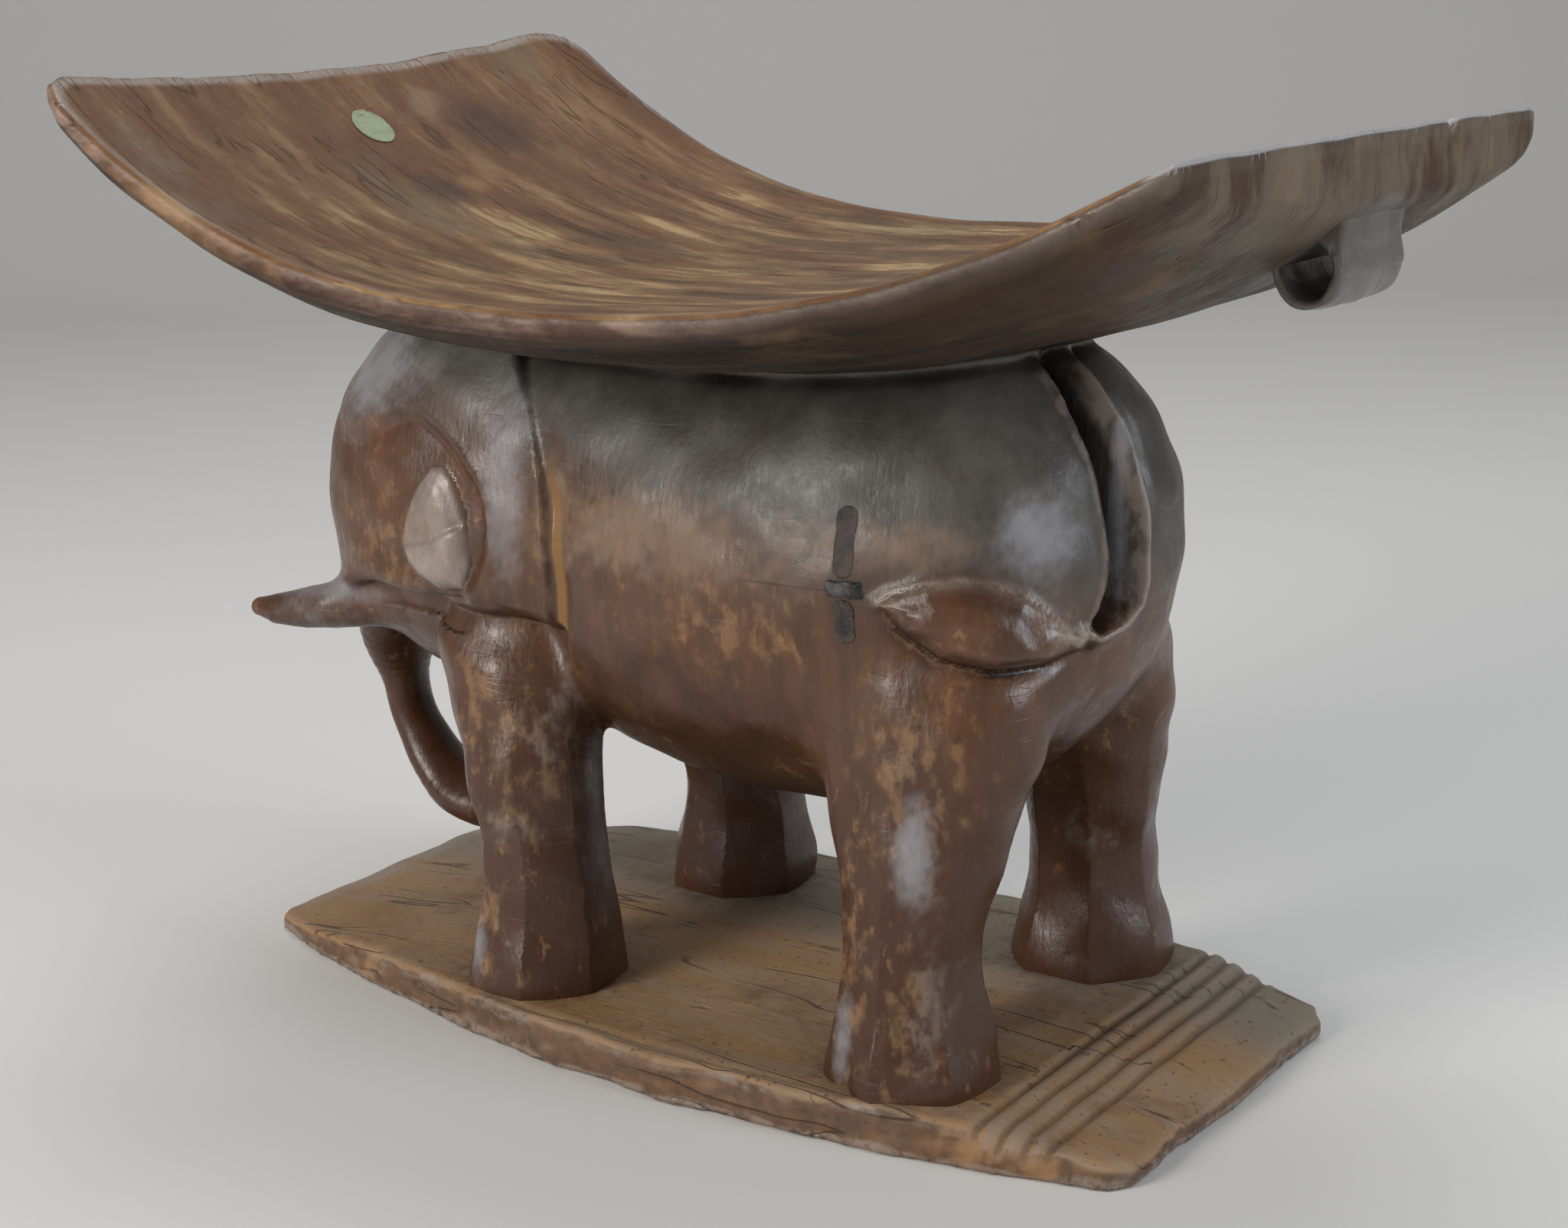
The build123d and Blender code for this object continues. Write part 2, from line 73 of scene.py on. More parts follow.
class CarvingSettings(bpy.types.PropertyGroup):
    """How deep the animal is carved."""

    grain: length("Grain", "Distance between points on the animal", 1.7)
    face_depth: length("Face depth", "How far the face lies below the dome and ears", 5.5)
    eye_rise: length("Eye rise", "How far the eye stands out of the face", 5.0)
    ear_groove: length("Ear groove", "Depth of the groove behind each ear", 3.2)
    channel_depth: length("Channel depth", "Depth of the channel beside the tail", 11.0)
    crest_rise: length("Tail rise", "How far the tail stands out of the rump", 5.0)
    leaf_rise: length("Tuft rise", "How far the tail's tuft stands out of the flank", 11.5)
    tool_marks: length("Tool marks", "Height of the waves left by the adze", 0.45)


class SeatSettings(bpy.types.PropertyGroup):
    """The seat's shape and fineness."""

    grain: length("Grain", "Distance between points on the seat", 2.3)
    rim_rounding: length("Rim rounding", "Rounding along the seat's rim", 4.0)
    keel: length("Underside depth", "How far the underside hangs below the rim", 37.0)
    loop_hole: length("Loop hole", "Radius of the hole through the carved loop", 10.0)


class BaseSettings(bpy.types.PropertyGroup):
    """The base's fineness and the grooves across its tail end."""

    grain: length("Grain", "Distance between points on the base", 1.9)
    groove_count: IntProperty(
        name="Grooves", description="Grooves across the tail end", default=4, min=0, max=8
    )
    groove_start: length("First groove", "Place of the first groove along the stool", 151.5)
    groove_pitch: length("Groove pitch", "Distance from one groove to the next", 9.6)
    groove_width: length("Groove width", "Width of one groove", 4.6)
    groove_depth: length("Groove depth", "Depth of one groove", 2.0)


class FinishSettings(bpy.types.PropertyGroup):
    """The colours of the wood, its patina and the small fittings."""

    brown: colour("Brown", "Burnished wood of the animal", (0.138, 0.056, 0.024))
    deep: colour("Deep brown", "Wood in hollows and streaks", (0.046, 0.023, 0.014))
    ochre: colour("Ochre", "Wood laid bare by wear", (0.350, 0.195, 0.085))
    patina: colour("Patina", "Dusty grey coat on the upper parts", (0.098, 0.094, 0.084))
    soot: colour("Soot", "Dark mottling under the patina", (0.044, 0.041, 0.036))
    # pale dust, and painted highlights: bluish reflections on the dome and pale glints on the feet
    # and rump
    dust_and_highlight: colour("Dust", "Palest parts of the grey coat", (0.290, 0.286, 0.305))
    # pale scuffs and scratches, and painted highlights on the hind leg
    scuff_and_highlight: colour("Scuff", "Pale scuffs", (0.330, 0.290, 0.250))
    leg_red: colour("Leg red", "Redder wood down the legs", (0.064, 0.023, 0.010))
    # tan wood, partly painted sheen where the flank catches the light
    flank_tan_and_sheen: colour("Flank tan", "Tan wood below the grey coat", (0.235, 0.150, 0.098))
    # painted shade: the near-black of the deep channel beside the tail, over brown wood without the
    # grey coat
    channel: colour("Channel", "Channel beside the tail", (0.024, 0.013, 0.008))
    ear_wall: colour("Ear wall", "Wall of the groove behind the ear", (0.300, 0.165, 0.062))
    eye: colour("Eye", "Worn eye", (0.430, 0.370, 0.330))
    # worn top of the tail's crest, partly a painted highlight
    crest: colour("Crest", "Worn top of the tail", (0.350, 0.300, 0.245))
    # painted shade with some grime, laid where the wood is hollow
    grime_and_hollow_shade: colour("Grime", "Dirt in the deepest hollows", (0.012, 0.009, 0.007))
    shade: colour("Shade", "Wood that faces down", (0.014, 0.009, 0.006))
    seat_tan: colour("Seat tan", "Worn wood of the seat", (0.320, 0.185, 0.084))
    seat_red: colour("Seat red", "Redder wood towards the head end", (0.150, 0.064, 0.028))
    seat_dark: colour("Seat dark", "Dark patches of the seat", (0.078, 0.048, 0.024))
    seat_head: colour("Seat head end", "Wood at the head end", (0.160, 0.062, 0.023))
    seat_rubbed: colour("Seat rubbed", "Wood rubbed pale", (0.540, 0.370, 0.190))
    seat_olive: colour("Seat olive", "Olive clouds on the seat", (0.190, 0.160, 0.095))
    knot: colour("Knot", "Pale knots", (0.320, 0.210, 0.120))
    under_brown: colour("Under brown", "Brown of the underside", (0.048, 0.029, 0.018))
    under_tail: colour("Under tail", "Underside at the tail end", (0.068, 0.043, 0.022))
    under_streak: colour("Under streak", "Red streaks below the tail end", (0.060, 0.030, 0.017))
    # the seat's sides: dark wood with painted shade, and pale patches that are partly painted
    # highlights
    band_dark_and_shade: colour("Side dark", "Dark of the seat's sides", (0.064, 0.024, 0.014))
    band_light_and_highlight: colour("Side light", "Light of the seat's sides", (0.290, 0.195, 0.150))
    band_tail: colour("Side tail", "Sides towards the tail", (0.038, 0.022, 0.012))
    band_foot: colour("Side foot", "Lower edge of the sides", (0.034, 0.017, 0.013))
    end_dark: colour("End dark", "Dark of the tail end's face", (0.050, 0.027, 0.015))
    end_light: colour("End light", "Light of the tail end's face", (0.125, 0.096, 0.066))
    # painted highlight along the tail end's top edge
    tail_rim_highlight: colour("Tail rim", "Polished edge of the tail end", (0.480, 0.480, 0.510))
    loop_grey: colour("Loop grey", "Handled grey of the loop", (0.150, 0.148, 0.142))
    rim: colour("Rim", "Burnished rim of the seat", (0.300, 0.235, 0.190))
    base_tan: colour("Base tan", "Dry wood of the base", (0.340, 0.225, 0.138))
    base_worn: colour("Base worn", "Trodden wood of the base", (0.460, 0.300, 0.170))
    # painted shade over the far half of the base
    base_far_shade: colour("Base grey", "Greyer far half of the base", (0.205, 0.182, 0.138))
    inlay: colour("Inlay", "Filler of the repairs", (0.078, 0.052, 0.040))
    inlay_dark: colour("Inlay dark", "Darker filler", (0.016, 0.013, 0.014))
    iron: colour("Iron", "Iron of the staple", (0.130, 0.125, 0.125))
    iron_dark: colour("Iron dark", "Darker iron", (0.030, 0.027, 0.026))
    paper: colour("Paper", "Bare paper label", (0.400, 0.470, 0.290))
    paper_dark: colour("Paper dark", "Darker paper", (0.300, 0.350, 0.215))


class StageSettings(bpy.types.PropertyGroup):
    """The floor, the lamps and the camera."""

    floor: colour("Floor", "Plain floor and backdrop", (0.80, 0.79, 0.77))
    lens: FloatProperty(
        name="Lens", description="Focal length", default=60.41, unit="CAMERA", min=10, max=300
    )
    key_power: FloatProperty(
        name="Key lamp", description="Power of the large soft lamp", default=37.0, unit="POWER"
    )
    side_power: FloatProperty(
        name="Side lamp", description="Power of the cooler side lamp", default=20.0, unit="POWER"
    )
    top_power: FloatProperty(
        name="Top lamp", description="Power of the lamp overhead", default=14.0, unit="POWER"
    )
    sky: FloatProperty(name="Sky", description="Strength of the even light", default=0.22, min=0)


# ---- curves, outlines and soft joins ----------------------------------------------------------
def ease(value, start, end):
    """0 before start and 1 after end, with a smooth way between."""
    share = np.clip((value - start) / (end - start), 0, 1)
    return share * share * (3 - 2 * share)


def follow(points, place):
    """The value at each place along (place, value) points, smooth and with no overshoot."""
    places, values = np.array(points, float).T
    steps = np.diff(places)
    slopes = np.diff(values) / steps
    before, after = slopes[:-1], slopes[1:]
    total = np.where(before + after == 0, 1, before + after)
    lean = np.concatenate(
        [slopes[:1], np.where(before * after > 0, 2 * before * after / total, 0), slopes[-1:]]
    )
    fine = np.linspace(places[0], places[-1], 400)
    spot = np.clip(np.searchsorted(places, fine) - 1, 0, len(steps) - 1)
    share = (fine - places[spot]) / steps[spot]
    table = (
        values[spot] * (1 + 2 * share) * (1 - share) ** 2
        + lean[spot] * steps[spot] * share * (1 - share) ** 2
        + values[spot + 1] * share**2 * (3 - 2 * share)
        - lean[spot + 1] * steps[spot] * share**2 * (1 - share)
    )
    return np.interp(place, fine, table)


def join(first, second, blend):
    """Two forms grown together over the blend distance."""
    share = np.clip(0.5 + 0.5 * (second - first) / blend, 0, 1)
    return second + (first - second) * share - blend * share * (1 - share)


def common(first, second, blend):
    """What two forms share, with its edge rounded over the blend distance."""
    return -join(-first, -second, blend)


def line_distance(across, up, line):
    """Distance in a flat view to a line of points."""
    best = np.full(across.shape, 1e6)
    for (ax, az), (bx, bz) in zip(line[:-1], line[1:]):
        run, rise = bx - ax, bz - az
        share = np.clip(
            ((across - ax) * run + (up - az) * rise) / (run * run + rise * rise), 0, 1
        )
        gap = np.hypot(across - ax - share * run, up - az - share * rise)
        best = np.minimum(best, gap)
    return best


def outline_depth(across, up, outline):
    """Depth inside a closed outline in a flat view; below 0 outside it."""
    ring = list(outline) + [outline[0]]
    inside = np.zeros(across.shape, bool)
    for (ax, az), (bx, bz) in zip(ring[:-1], ring[1:]):
        crosses = (az > up) != (bz > up)
        height = np.where(bz == az, 1, bz - az)
        inside ^= crosses & (across < (bx - ax) * (up - az) / height + ax)
    gap = line_distance(across, up, ring)
    return np.where(inside, gap, -gap)


def dent(gap, radius, depth):
    """A rounded dent, from the distance to its middle."""
    return depth * np.exp(-((gap / radius) ** 2))


def tool_waves(x, y, z, wave, seed):
    """Soft random waves of height about 1, as an adze leaves them."""
    dice = np.random.default_rng(seed)
    total = np.zeros(np.shape(x))
    for _ in range(7):
        way = dice.normal(size=3)
        way /= np.linalg.norm(way)
        turn = dice.uniform(0, 2 * pi)
        rate = 2 * pi / (wave * dice.uniform(0.6, 1.6))
        total = total + np.sin((x * way[0] + y * way[1] + z * way[2]) * rate + turn)
    return total / 2.2


# ---- the seat ---------------------------------------------------------------------------------
SEAT_HEAD_END = -253.0
SEAT_TAIL_END = 260.0
SEAT_LOW_PLACE = 6
SEAT_LOW_HEIGHT = 322
SEAT_HEAD_RISE = 83
SEAT_TAIL_RISE = 56
SPLIT_PLACE = (258, 62, 372)
# Places along the seat with half its width, and with the depth of its dish.
SEAT_HALF_WIDTHS = ((-256, 168.5), (0, 163), (262, 157))
SEAT_DISH = ((-256, 10), (-100, 8), (40, 6), (180, 3), (262, -1))
SEAT_OUTLINE = (
    (-253, -150), (-248, -161), (-236, -167.5), (0, -163.5), (254, -158.5), (261.5, -156.5),
    (263, -149), (261, 0), (260.8, 138), (258.5, 149), (250, 155.5), (0, 163), (-238, 168),
    (-249, 162), (-254, 148), (-255.5, 0),
)


def rim_height(x):
    """Height of the seat's rim: it sweeps up to both ends."""
    to_head = np.clip((SEAT_LOW_PLACE - x) / (SEAT_LOW_PLACE - SEAT_HEAD_END), 0, 1.05)
    to_tail = np.clip((x - SEAT_LOW_PLACE) / (SEAT_TAIL_END - SEAT_LOW_PLACE), 0, 1.05)
    return SEAT_LOW_HEIGHT + SEAT_HEAD_RISE * to_head**2.5 + SEAT_TAIL_RISE * to_tail**2.3


def seat_side(x):
    """Half the seat's width."""
    return follow(SEAT_HALF_WIDTHS, x)


def seat_twist(x, y):
    """The slight warp of the seat's two ends."""
    head_end = 3.6 * ease(-x, 120, 250) * ease(y, 0, 150)
    return ease(x, 90, 262) * (2.2 - 1.2 * y / 157) + head_end


def seat_top(x, y):
    """Height of the dished top."""
    dish = follow(SEAT_DISH, x) * (1 - (y / seat_side(x)) ** 2)
    return rim_height(x) + seat_twist(x, y) - dish


def seat_underside(x, y):
    """Height of the full underside, which curves up to the rim at the sides and the ends."""
    keel = bpy.context.scene.stool_seat.keel / MM
    across = np.clip(np.abs(y) / (seat_side(x) + 1.5), 0, 1)
    to_end = ease(np.abs(x), 130, 235)
    lobe = (1 - across**2.1) ** (0.78 - 0.30 * to_end)
    end = np.minimum(x - SEAT_HEAD_END, SEAT_TAIL_END - x)
    end_share = np.clip(1 - end / 62, 0, 1)
    end_depth = 1 - 0.34 * end_share**2
    far_corner = 5 * ease(x, 150, 250) * ease(y, 20, 110)
    edge = 10.5 - 5.5 * to_end
    hang = edge + ((keel - edge) * end_depth + far_corner) * lobe
    return rim_height(x) + seat_twist(x, y) - hang


def seat_waves(x, y, z):
    """The adze's marks on the top; the underside has them twice as high."""
    return tool_waves(x, y, z, 46, 3) * 0.25


def seat_form(x, y, z):
    """The seat: below 0 inside the wood."""
    rounding = bpy.context.scene.stool_seat.rim_rounding / MM
    slope = (rim_height(x + 1) - rim_height(x - 1)) / 2
    upright = 1 / np.sqrt(1 + slope**2)
    side = -outline_depth(x, y, SEAT_OUTLINE)
    above = (z - seat_top(x, y) - seat_waves(x, y, z)) * upright
    below = (seat_underside(x, y) + 2 * seat_waves(x, y, z) - z) * upright * 0.86
    form = common(common(side, above, rounding), below, rounding)
    split = np.hypot((x - SPLIT_PLACE[0]) * 0.5, y - SPLIT_PLACE[1])
    return form + dent(split + np.abs(z - SPLIT_PLACE[2]) * 0.12, 3.2, 2.2)


LOOP_X = 241.0
LOOP_Y = 8.0
LOOP_Z = 331.5
LOOP_RADIUS = 13.6
LOOP_LENGTH = 54
LOOP_GRAIN = 0.9


def loop_form(x, y, z):
    """The strap carved under the tail end, with its hole from side to side."""
    hole_radius = bpy.context.scene.stool_seat.loop_hole / MM
    bend = 1.5 * np.sin((y - LOOP_Y + LOOP_LENGTH / 2) / LOOP_LENGTH * pi)
    round_outside = np.hypot(x - LOOP_X - bend * 0.5, z - LOOP_Z + bend * 0.4) - LOOP_RADIUS
    up = z - LOOP_Z
    lug = np.maximum(np.abs(x - LOOP_X) - LOOP_RADIUS + 0.2, np.maximum(-up, up - 21))
    outside = join(round_outside, lug, 2.0)
    ends = np.abs(y - LOOP_Y) - LOOP_LENGTH / 2
    hole = hole_radius - np.hypot((x - LOOP_X + 0.6) * 1.02, (z - LOOP_Z - 0.6) * 0.96)
    wear = tool_waves(x, y, z, 17, 11) * 0.35
    return common(common(outside, ends, 4.0), hole, 3.0) + wear


# ---- the base ---------------------------------------------------------------------------------
BASE_OUTLINE = (
    (-258.5, -56), (-252, -64), (-215, -78), (-160, -93), (-100, -106), (-40, -114.5),
    (20, -116.5), (80, -112.5), (140, -104), (186, -94.5), (203, -89), (209.5, -80), (210, -40),
    (211.5, 0), (210, 50), (210, 80), (203, 90), (150, 102), (80, 112), (0, 116), (-80, 115),
    (-160, 109), (-225, 102), (-252, 98), (-259, 88), (-260, 20),
)
# Places along the base with its height there.
BASE_HEIGHTS = (
    (-262, 6), (-235, 8.4), (-180, 14), (-130, 18), (-80, 19), (120, 19), (150, 18), (214, 8)
)
# One row each: a chip's place, its radius and how deep it bites.
BASE_CHIPS = (
    (163, -101, 8.5, 4.2),
    (174, -97, 6.0, 3.4),
    (196, -93, 7.0, 3.0),
    (150, -106, 5.5, 2.2),
    (-168, -91, 6.0, 2.6),
    (-120, -104, 4.5, 1.6),
    (211, -70, 5.0, 2.0),
    (40, -117, 6.0, 1.8),
)
NEAR_EDGE_CRACK = ((-128, -101), (-60, -107), (10, -109), (70, -107), (112, -103))
TAIL_NOTCH = (214, -42.5)
GROOVE_LEAN = 0.02


def base_top(x, y):
    """Height of the base's top, which thins towards both ends."""
    return follow(BASE_HEIGHTS, x) + 0.35 * tool_waves(x, y, 0, 60, 5)


def base_form(x, y, z):
    """The base plank with worn edges, chips and the split in its tail end."""
    ragged = 0.7 * tool_waves(x, y, z, 34, 8) + 0.22 * tool_waves(x, y, z, 10, 9)
    ragged = ragged * ease(np.abs(y) + np.abs(x) * 0.2, 60, 95)
    top = z - base_top(x, y)
    form = common(ragged - outline_depth(x, y, BASE_OUTLINE), top, 4.2)
    form = common(form, -z, 0.5)
    notch_x, notch_y = TAIL_NOTCH
    notch = np.hypot(x - notch_x, (y - notch_y) * 1.15) - 5.0
    form = common(form, -notch, 2.0)
    split = np.abs(y - notch_y + 0.04 * (x - 205)) * 2.2 + np.abs(top) * 1.1
    form = form + dent(split, 2.0, 1.1) * ease(x, 150, 206)
    for chip_x, chip_y, radius, bite in BASE_CHIPS:
        form = form + dent(np.hypot(x - chip_x, y - chip_y), radius, bite) * ease(z, 5, 17)
    line = line_distance(x, y, NEAR_EDGE_CRACK)
    form = form + dent(line, 1.5, 0.9) * ease(z, 12, 17)
    step = np.hypot(np.maximum(np.abs(x + 120) - 60, 0), z - 9) * 0.5
    return form + dent(step, 2.2, 0.8) * ease(-y, 60, 90)


# ---- the animal's masses ----------------------------------------------------------------------
TORSO_PLACE = 39
TORSO_HALF_WIDTH = 93
TORSO_HALF_HEIGHT = 106
TORSO_FRONT = -112


def torso_form(x, y, z):
    """The barrel of the body."""
    ahead = x < TORSO_PLACE
    long = np.where(ahead, 152.0 + 150 * ease(z, 225, 278), 135.5)
    power = np.where(ahead, 3.0, 2.3)
    along = np.abs(x - TORSO_PLACE) / long
    middle = 206 + 17 * np.clip((x + 10) / 184, 0, 1) ** 2.2
    up = (z - middle) / TORSO_HALF_HEIGHT
    out = y / TORSO_HALF_WIDTH
    across = out**2 + up**2
    size = (along**power + across ** (power / 2)) ** (1 / power)
    lean = (along ** (power - 1) / long) ** 2
    tilt = (out / TORSO_HALF_WIDTH) ** 2 + (up / TORSO_HALF_HEIGHT) ** 2
    lean = (lean + across ** (power - 2) * tilt) * size ** (2 - 2 * power)
    return common((size - 1) / np.sqrt(np.maximum(lean, 1e-8)), TORSO_FRONT - x, 12.0)


def dome(x, y, z, reach, width):
    """A half ellipse in front and straight sides behind, from its reach and width by height."""
    ahead = np.minimum(x + 128, 0) / reach
    out = y / width
    size = np.sqrt(ahead**2 + out**2)
    lean = np.sqrt((ahead / reach) ** 2 + (out / width) ** 2) / np.maximum(size, 1e-3)
    return (size - 1) / np.maximum(lean, 1 / 130)


EAR_REAR = (
    (-93, 300), (-86, 286), (-81.7, 279), (-71.2, 264), (-63.8, 248), (-60, 232), (-58.8, 216),
    (-58.5, 199), (-59.5, 183), (-62, 174),
)


def ear_rear(z):
    """Place of the ear's rear edge at each height."""
    return follow([(height, place) for place, height in reversed(EAR_REAR)], z)


def ear_lip(x):
    """Height of the lower edge of the ear and the cheek."""
    return 180.5 - 3.0 * ease(x, -90, -60) - 9 * ease(-x, 160, 215)


# Heights with the head's reach ahead of the ears and half its width.
HEAD_REACH = (
    (160, 98), (170, 101), (186, 103), (205, 106), (222, 106), (240, 103), (262, 92), (280, 74),
    (300, 49), (325, 16),
)
HEAD_HALF_WIDTHS = (
    (160, 80), (175, 84), (190, 87.5), (212, 89), (235, 87), (252, 82.5), (270, 76), (286, 68),
    (306, 54), (325, 38),
)
JAW_REACH = (
    (118, 40), (128, 58), (138, 72), (150, 86), (165, 97), (184, 101), (205, 100), (230, 88),
    (250, 66), (270, 36), (285, 10),
)
JAW_HALF_WIDTHS = (
    (118, 22), (128, 34), (138, 45), (150, 55), (165, 63), (184, 69), (205, 72), (230, 62),
    (250, 48), (270, 28), (285, 8),
)


def head_form(x, y, z):
    """The dome of the head with the ears' layer, down to the lip under the ear."""
    form = dome(x, y, z, follow(HEAD_REACH, z), follow(HEAD_HALF_WIDTHS, z)) * 0.92
    form = form + 3.5 * ease(x, -114, -64)
    form = common(form, x - ear_rear(z), 3.0)
    return common(form, ear_lip(x) - z, 6.0)


def jaw_form(x, y, z):
    """The narrower jaw under the head, from which the trunk hangs."""
    form = dome(x, y, z, follow(JAW_REACH, z), follow(JAW_HALF_WIDTHS, z)) * 0.8
    return common(common(form, x + 84, 8.0), 131 - z, 14.0)


FAR_OUT = 60.0


def tapered_form(near, x, y, z, stations):
    """A rod through rows of place and radius; where it isn't near, it counts as far out."""
    form = np.full(np.shape(x), FAR_OUT)
    spots = np.stack([x[near], y[near], z[near]])
    best = np.full(spots[0].shape, FAR_OUT)
    for (*start, start_radius), (*end, end_radius) in zip(stations[:-1], stations[1:]):
        start, run = np.array(start)[:, None], np.subtract(end, start)[:, None]
        share = np.clip(((spots - start) * run).sum(0) / (run**2).sum(), 0, 1)
        gap = np.sqrt(((spots - start - share * run) ** 2).sum(0))
        best = np.minimum(best, gap - start_radius - share * (end_radius - start_radius))
    form[near] = best
    return form


# One row each: share of the trunk's length, place, height and half depth.
TRUNK_ROWS = (
    (0, -214, 160, 22),
    (0.18, -226, 133, 14.5),
    (0.36, -224.5, 107, 8.8),
    (0.54, -213, 83, 9.6),
    (0.70, -195, 65.5, 12.0),
    (0.84, -173, 59, 12.5),
    (0.94, -158, 66, 11.5),
    (1, -152, 78, 9.5),
)
# One row each, for the right tusk: place along, out and up, and radius.
TUSK_ROWS = (
    (-178, 42, 170, 15.0),
    (-197, 47, 164.5, 13.2),
    (-214, 51.5, 160, 11.2),
    (-230, 54.5, 157.2, 9.1),
    (-246, 57.5, 155.2, 6.9),
    (-256.2, 59, 155.4, 4.0),
)


def trunk_form(x, y, z):
    """The trunk: it hangs from the jaw and curls back towards the front legs."""
    shares = np.linspace(0, 1, 30)
    along, up, radius = (
        follow([(row[0], row[column]) for row in TRUNK_ROWS], shares) for column in (1, 2, 3)
    )
    stations = list(zip(along, np.zeros(len(shares)), up, radius))
    near = (z < 176) & (x < -120) & (np.abs(y) < 34)
    return tapered_form(near, x, y * 0.72, z, stations)


def tusk_form(x, y, z, side):
    """One tusk: a tapered peg with a blunt tip."""
    near = (x < -165) & (y * side > 18) & (z > 125) & (z < 190)
    return tapered_form(near, x, y * side, z, TUSK_ROWS)


# One row each: height, middle along, middle outward, half length, half width.
FRONT_LEG = (
    (10, -80.5, 71, 34.5, 34),
    (20, -81, 71, 34.3, 34),
    (32, -80, 71, 32.8, 32.5),
    (57, -78.6, 70.5, 28.2, 27.5),
    (80, -81, 69.5, 26.8, 26.6),
    (102, -84.8, 68, 28.8, 27.4),
    (131, -91.5, 63.5, 34.0, 28.8),
    (152, -97.5, 58.5, 38.5, 29.5),
    (170, -102, 56, 41.5, 30.5),
    (186, -102, 52, 40.0, 29.0),
    (204, -98, 44, 32.0, 22.0),
)
LEFT_HIND_LEG = (
    (10, 108, 71, 35.0, 34),
    (20, 108, 71, 34.6, 34),
    (34, 108, 71, 32.6, 32.2),
    (57, 108, 71, 27.6, 27.4),
    (72, 108.2, 70.4, 26.6, 26.5),
    (90, 108.5, 68.5, 29.2, 27.6),
    (110, 108.5, 65, 35.2, 29.2),
    (131, 107.5, 60, 42.0, 31.0),
    (150, 106.5, 55.5, 48.0, 33.2),
    (168, 105.5, 51, 50.5, 34.6),
    (188, 105, 44, 44.0, 33.0),
    (206, 105, 34, 34.0, 26.0),
)
RIGHT_HIND_LEG = tuple(
    (height, along, out, 26.5 + (half_length - 26.5) * 0.86 if height > 72 else half_length, wide)
    for height, along, out, half_length, wide in LEFT_HIND_LEG
)


def leg_form(x, y, z, rows, side, turn):
    """One leg: a column with soft facets that swells into the shoulder or the thigh."""
    heights = [row[0] for row in rows]
    mid_x, mid_y, long, wide = (
        follow(list(zip(heights, (row[place] for row in rows))), z) for place in (1, 2, 3, 4)
    )
    ahead, out = x - mid_x, y * side - mid_y
    angle = np.arctan2(out, ahead)
    flat = 2 * pi / 7
    corner = np.cos(np.mod(angle + turn, flat) - flat / 2)
    facets = (corner / 0.955 - 1) * (0.62 - 0.42 * ease(z, 55, 150))
    size = np.sqrt((ahead / long) ** 2 + (out / wide) ** 2)
    form = (size * (1 + facets) - 1) * np.minimum(long, wide)
    return common(form, np.maximum(z - heights[-1], heights[0] - z), 10.0)


# ---- the carving on those masses --------------------------------------------------------------
FACE = (
    (-330, 256), (-205, 256), (-180, 253), (-167.7, 254), (-154.4, 258.5), (-142, 262),
    (-129.5, 261.5), (-117, 255), (-104.7, 246.5), (-95.5, 237.4), (-89.5, 227), (-87.3, 215.5),
    (-88.7, 204), (-94, 194), (-101, 184), (-106, 170), (-108, 150), (-330, 150),
)
EYE = (
    (-122.7, 239), (-130.2, 229.5), (-137.6, 215), (-141, 203), (-137, 195), (-129, 190),
    (-117, 186), (-105, 187.5), (-101, 199), (-101, 212), (-104, 224), (-109, 234), (-115, 239.5),
)
EYE_CREASE = ((-138, 204), (-120.6, 208.5), (-106, 215.2))
BUTTOCK_EDGE = (
    (-17.5, 306), (-19.5, 298.3), (-22.9, 292), (-28.2, 276.4), (-30.5, 260.2), (-30.4, 242.9),
    (-30.2, 225.5), (-30.6, 210.9), (-32, 202.5), (-35.5, 197.5),
)
TAIL_CREST = (
    (-10.5, 312), (-12.5, 300), (-14.5, 292.4), (-15.5, 280.7), (-14.2, 257), (-13.8, 244),
    (-13.3, 229.8), (-13, 212.2), (-14.2, 202), (-21, 195.5), (-31.6, 192.2), (-41, 193.5),
    (-52, 198.5),
)
LEAF_TOP = (
    (12.6, 209.5), (16.9, 213), (28.6, 217.6), (41.4, 219.2), (54, 217.6), (65.3, 212.5),
    (73, 206), (80, 200.5), (88, 195.5),
)
LEAF_FOOT = (
    (88, 189.5), (74.3, 185.6), (52.3, 185), (33.5, 189.5), (21, 198.7),
)
# The channel lies between the buttock and the first points of the crest, down to its hook.
CHANNEL_OUTLINE = BUTTOCK_EDGE + tuple(reversed(TAIL_CREST[:11]))


def leaf_view(x, y):
    """Distance along the flank's slanted view, in which the tuft is drawn."""
    return (x + y) / 2**0.5


def leaf_depth(x, y, z):
    """Depth inside the outline of the tail's leaf-shaped tuft."""
    return outline_depth(leaf_view(x, y), z, LEAF_TOP + LEAF_FOOT)


